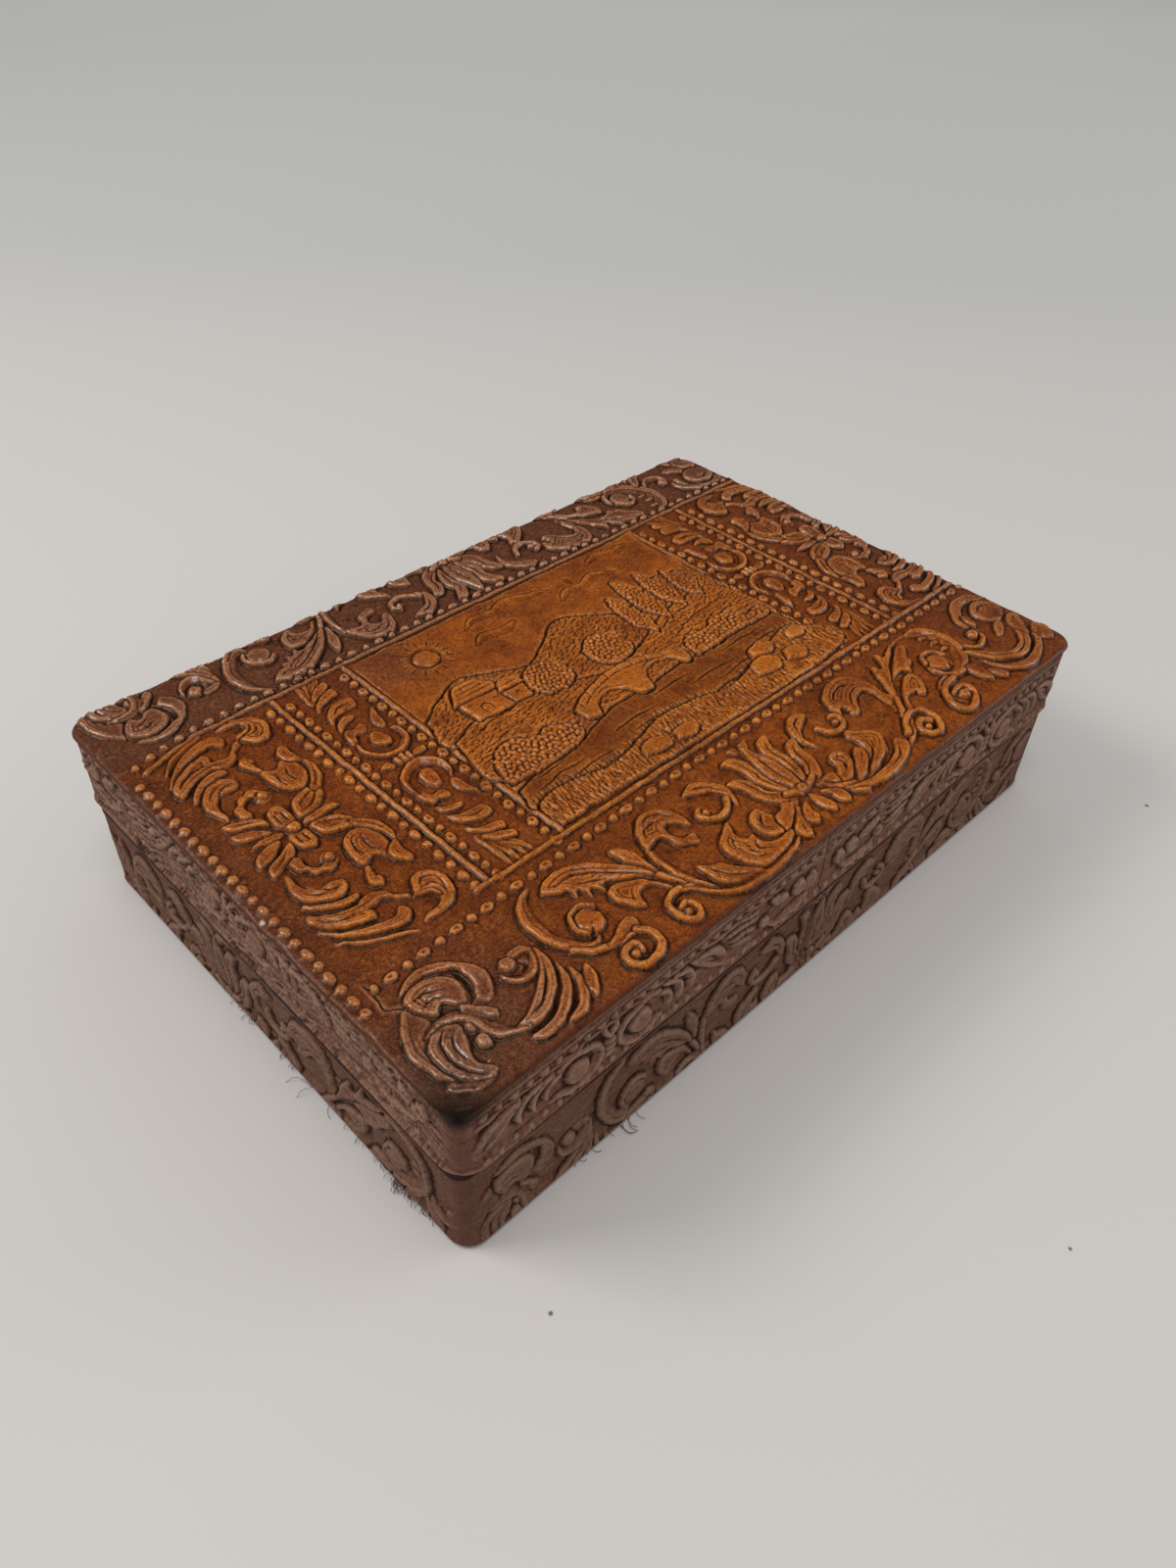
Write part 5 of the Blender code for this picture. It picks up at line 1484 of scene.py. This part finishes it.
def fibre_tree(material):
    """Geometry nodes that put a curled fibre on each point of the mesh, turned and sized at random."""
    tree = bpy.data.node_groups.new("loose_fibres", "GeometryNodeTree")
    tree.interface.new_socket("Geometry", in_out="OUTPUT", socket_type="NodeSocketGeometry")
    for name, kind in (("Geometry", "Geometry"), ("Length", "Float"), ("Thickness", "Float"),
                       ("Seed", "Int")):
        tree.interface.new_socket(name, in_out="INPUT", socket_type="NodeSocket" + kind)

    def add(kind, inputs=None, output=0, **fields):
        made = new_node(tree, kind, inputs, **fields)
        return made.outputs[output] if len(made.outputs) else made

    given = tree.nodes.new("NodeGroupInput").outputs
    bend = add("GeometryNodeCurvePrimitiveBezierSegment",
               {"Resolution": 7, "Start": (0, 0, 0), "Start Handle": (0.35, 0.25, 0.12),
                "End Handle": (0.7, -0.35, 0.2), "End": (1.0, 0.1, -0.05)}, mode="POSITION")
    ring = add("GeometryNodeCurvePrimitiveCircle", {"Resolution": 4, "Radius": given["Thickness"]},
               mode="RADIUS")

    def random(low, high):
        return add("FunctionNodeRandomValue", {"Min": low, "Max": high, "Seed": given["Seed"]}, "Value",
                   data_type="FLOAT")

    def of_point(name):
        return add("GeometryNodeInputNamedAttribute", {"Name": name}, "Attribute", data_type="FLOAT")

    length = add("ShaderNodeMath", {0: random(0.35, 1.0), 1: given["Length"]}, operation="MULTIPLY")
    length = add("ShaderNodeMath", {0: length, 1: of_point("reach")}, operation="MULTIPLY")
    spin = add("ShaderNodeCombineXYZ", {"X": random(-0.9, 0.9), "Z": of_point("turn")})
    put = add("GeometryNodeInstanceOnPoints",
              {"Points": given["Geometry"], "Instance": bend, "Rotation": spin, "Scale": length})
    real = add("GeometryNodeRealizeInstances", {"Geometry": put})
    tube = add("GeometryNodeCurveToMesh", {"Curve": real, "Profile Curve": ring, "Fill Caps": True})
    coloured = add("GeometryNodeSetMaterial", {"Geometry": tube, "Material": material})
    add("NodeGroupOutput", {"Geometry": coloured})
    return tree


def made_plain(piece):
    """The evaluated mesh of a piece with its modifiers, as a new object with none."""
    bpy.context.view_layer.update()
    mesh = bpy.data.meshes.new_from_object(piece.evaluated_get(bpy.context.evaluated_depsgraph_get()))
    name = piece.name
    bpy.data.objects.remove(piece)
    mesh.name = name
    return linked(name, mesh)


def loose_fibres(settings, material, outline, normals, rng):
    """Tufts where the photo shows them, and a thin fringe elsewhere."""
    left, front = -96.2, -64.4
    # Each tuft: where it stands, how many fibres it has and how far they reach
    tufts = ((left, -52.0, 14, 0.6), (left, -46.0, 50, 0.7), (left, -40.0, 18, 0.6), (left, -20.0, 3, 2.6),
             (left, -31.0, 12, 0.5), (left, -8.0, 10, 0.6), (left, 9.0, 14, 0.6), (left, 15.0, 8, 0.5),
             (-57.0, front, 8, 1.0), (-66.0, front, 5, 0.6))
    spots, turns, reaches = [], [], []
    for x, y, fibre_count, reach in tufts:
        on_left = x == left
        for _ in range(fibre_count):
            slip = rng.normal(0, 1.8)
            x_spot, y_spot = (x + 0.8, y + slip) if on_left else (x + slip, y + 0.8)
            spots.append((x_spot, y_spot, rng.uniform(0.3, 0.8)))
            turns.append((math.pi if on_left else -math.pi / 2) + rng.normal(0, 0.8))
            reaches.append(reach)
    for _ in range(settings.count):
        k = rng.integers(len(outline))
        spots.append((*(outline[k] - normals[k] * 0.6), rng.uniform(0.3, 0.8)))
        turns.append(math.atan2(normals[k][1], normals[k][0]) + rng.normal(0, 0.9))
        reaches.append(0.3)
    mesh = bpy.data.meshes.new("felt_fibres")
    mesh.from_pydata([tuple(c * MM for c in p) for p in spots], [], [])
    for key, data in (("turn", turns), ("reach", reaches)):
        mesh.attributes.new(key, "FLOAT", "POINT").data.foreach_set("value", np.array(data, np.float32))
    fibres = linked("felt_fibres", mesh)
    tree = fibre_tree(material)
    modifier = fibres.modifiers.new("fibres", "NODES")
    modifier.node_group = tree
    given = {"Length": settings.length, "Thickness": settings.thickness / 2, "Seed": settings.seed}
    for item in tree.interface.items_tree:
        if item.in_out == "INPUT" and item.name in given:
            modifier[item.identifier] = given[item.name]
    fibres = made_plain(fibres)
    # What would dip under the floor is turned back up
    lowest = 0.03 * MM
    for vertex in fibres.data.vertices:
        vertex.co.z = abs(vertex.co.z - lowest) + lowest
    return fibres


class BOX_OT_felt(bpy.types.Operator):
    """Builds the felt under the base and the fibres that stray from it"""
    bl_idname = "table_box.felt"
    bl_label = "Felt"

    def execute(self, context):
        settings, colours = context.scene.table_box_fibres, context.scene.table_box_colours
        half_x, half_y = FELT_HIGH[:2]
        rng = np.random.default_rng(settings.seed)
        halves = [perimeter(half_x, half_y, 4.0, left_half, 0.6) for left_half in (True, False)]
        outline, normals = (np.vstack(parts) for parts in zip(*halves))
        count = len(outline)
        ragged = blurred(rng.normal(0, 0.22, (1, count)), 1.2)[0]
        rows = []
        # The felt's rounded, ragged edge: height above the floor and how far it is drawn in
        levels = ((0.0, 0.45), (0.18, 0.08), (0.5, 0.0), (0.8, 0.12), (FELT_HIGH[2], 0.5))
        for level, inset in levels:
            flat = outline - normals * (inset + 0.1 + np.abs(ragged))[:, None]
            rows.append(np.column_stack([flat, np.full(count, level)]))
        ring = np.arange(count)
        closed = np.append(ring, 0)
        edge = [bridged(k * count + closed, (k + 1) * count + closed) for k in range(len(levels) - 1)]
        ends = [ring[::-1], (len(levels) - 1) * count + ring]
        felt = mesh_of("felt_pad", np.vstack(rows), edge, ends, {})
        finished(felt, felt_finish(colours), "base", "base_felt")
        fibres = loose_fibres(settings, fibre_finish(colours), outline, normals, rng)
        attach(fibres, "base")
        return {"FINISHED"}


class BOX_OT_woodwork(bpy.types.Operator):
    """Gives the case boards and the cedar lining their grain"""
    bl_idname = "table_box.woodwork"
    bl_label = "Woodwork"

    def execute(self, context):
        c = context.scene.table_box_colours
        finishes = {}
        for along in "xy":
            finishes["case_wood", along] = wood_finish(f"case_wood_{along}", c.case_dark, c.case_light,
                                                       130, along, 0.6)
            finishes["cedar", along] = wood_finish(f"cedar_{along}", c.cedar_dark, c.cedar_light,
                                                   170, along, 0.5)
        for name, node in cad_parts.items():
            if name.endswith(("_board", "_lining", "_divider")):
                slot = "case_wood" if name.endswith("_board") else "cedar"
                along = "y" if "_left_" in name or "_right_" in name or "divider" in name else "x"
                finished(node, finishes[slot, along])
        return {"FINISHED"}


class BOX_OT_hinges(bpy.types.Operator):
    """Gives the hinges, their pins and their screws an aged brass finish"""
    bl_idname = "table_box.hinges"
    bl_label = "Hinges"

    def execute(self, context):
        material = brass_finish(context.scene.table_box_colours)
        for name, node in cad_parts.items():
            if "_hinge_" in name:
                finished(node, material)
        return {"FINISHED"}


class BOX_OT_stage(bpy.types.Operator):
    """Builds the floor, the soft lights and the camera"""
    bl_idname = "table_box.stage"
    bl_label = "Stage"

    def execute(self, context):
        scene, stage = context.scene, context.scene.table_box_stage
        # The floor changes tone away from the camera, in metres from the box; its far part is painted
        # lighter, as painted light that makes up for the lamps' light falling off there
        f = Finish("floor", 0.8)
        axes = f.node("SeparateXYZ", {0: f.coordinates}).outputs
        away = f.math("ADD", f.times(axes["X"], 0.717), f.times(axes["Y"], 0.697))
        f.base = f.mix(f.span(away, 0.30, 0.44), stage.floor, stage.middle)
        f.lay(stage.far, f.span(away, 0.44, 1.3))
        # Three dark specks lie on it
        for x, y, size in ((0.1126, -0.0933, 0.0007), (-0.0923, -0.0822, 0.0006), (-0.0148, -0.1394, 0.0005)):
            gap = f.node("VectorMath", {0: f.coordinates, 1: (x, y, 0.0)},
                         operation="DISTANCE").outputs["Value"]
            f.lay((0.25, 0.23, 0.22), f.span(gap, size * 0.4, size, 0.85, 0.0))
        size = 6.0
        mesh = bpy.data.meshes.new("floor")
        corners = [(-size, -size, 0), (size, -size, 0), (size, size, 0), (-size, size, 0)]
        mesh.from_pydata(corners, [], [(0, 1, 2, 3)])
        mesh.materials.append(f.done())
        linked("floor", mesh)
        scene.world = bpy.data.worlds.new("soft_room")
        scene.world.use_nodes = True
        tree = scene.world.node_tree
        background = tree.nodes["Background"]
        background.inputs["Color"].default_value = linear((0.97, 0.98, 0.99))
        # Mirrored in the leather, the room is darker than its light on the floor
        glossy = new_node(tree, "ShaderNodeLightPath").outputs["Is Glossy Ray"]
        dim = new_node(tree, "ShaderNodeMapRange",
                       {"Value": glossy, "To Min": stage.ambient, "To Max": stage.mirrored})
        tree.links.new(dim.outputs["Result"], background.inputs["Strength"])
        # Each lamp: its place, what it is aimed at, its sides and its power
        lamps = (("overhead", (-0.14, -0.18, 1.0), (0.0, 0.0, 0.0), (0.36, 0.36), stage.overhead),
                 ("left_panel", (-0.62, 0.54, 0.82), (0.0, 0.0, 0.02), (0.5, 0.4), stage.side),
                 ("right_panel", (0.95, -0.6, 0.45), (0.0, 0.0, 0.0), (0.7, 0.5), stage.fill))
        for name, place, aim, sides, power in lamps:
            lamp = bpy.data.lights.new(name, "AREA")
            lamp.shape = "RECTANGLE"
            lamp.size, lamp.size_y = sides
            lamp.energy = power
            holder = linked(name, lamp)
            holder.location = place
            holder.rotation_euler = (Vector(aim) - Vector(place)).to_track_quat("-Z", "Y").to_euler()
        # The photo's camera, as the box's corners give it
        camera = bpy.data.cameras.new("camera")
        camera.sensor_width = 36.0
        camera.lens = 26.154
        position = Vector((-0.15216, -0.14420, 0.20111))
        forward = (Vector((-0.00681, -0.00273, 0.0195)) - position).normalized()
        right = forward.cross(Vector((0, 0, 1))).normalized()
        up = right.cross(forward)
        roll = Matrix.Rotation(math.radians(2.373), 4, "Z")
        scene.camera = linked("camera", camera)
        turn = Matrix((right, up, -forward)).transposed().to_4x4()
        scene.camera.matrix_world = Matrix.Translation(position) @ turn @ roll
        scene.view_settings.view_transform = "Standard"
        return {"FINISHED"}


class BOX_PT_panel(bpy.types.Panel):
    """Lists the steps and the settings in the 3D view's sidebar"""
    bl_label = "Table Box"
    bl_idname = "BOX_PT_panel"
    bl_space_type = "VIEW_3D"
    bl_region_type = "UI"
    bl_category = "Table Box"

    def draw(self, context):
        for step in STEPS:
            self.layout.operator(step.bl_idname)
        for key in SETTINGS:
            box = self.layout.box()
            group = getattr(context.scene, key)
            for name in group.__annotations__:
                box.prop(group, name)


SETTINGS = {"table_box_colours": LeatherColours, "table_box_relief": LeatherRelief,
            "table_box_fibres": FeltFibres, "table_box_stage": StageLight}
STEPS = (BOX_OT_stage, BOX_OT_top_leather, BOX_OT_side_leather, BOX_OT_felt, BOX_OT_woodwork, BOX_OT_hinges)
CLASSES = (*SETTINGS.values(), *STEPS, BOX_PT_panel)


def register():
    for item in CLASSES:
        bpy.utils.register_class(item)
    for key, group in SETTINGS.items():
        setattr(bpy.types.Scene, key, PointerProperty(type=group))


def unregister():
    for key in SETTINGS:
        delattr(bpy.types.Scene, key)
    for item in reversed(CLASSES):
        bpy.utils.unregister_class(item)


def main():
    register()
    bpy.ops.table_box.stage()
    bpy.ops.table_box.top_leather()
    bpy.ops.table_box.side_leather()
    bpy.ops.table_box.felt()
    bpy.ops.table_box.woodwork()
    bpy.ops.table_box.hinges()


if __name__ == "__main__":
    main()
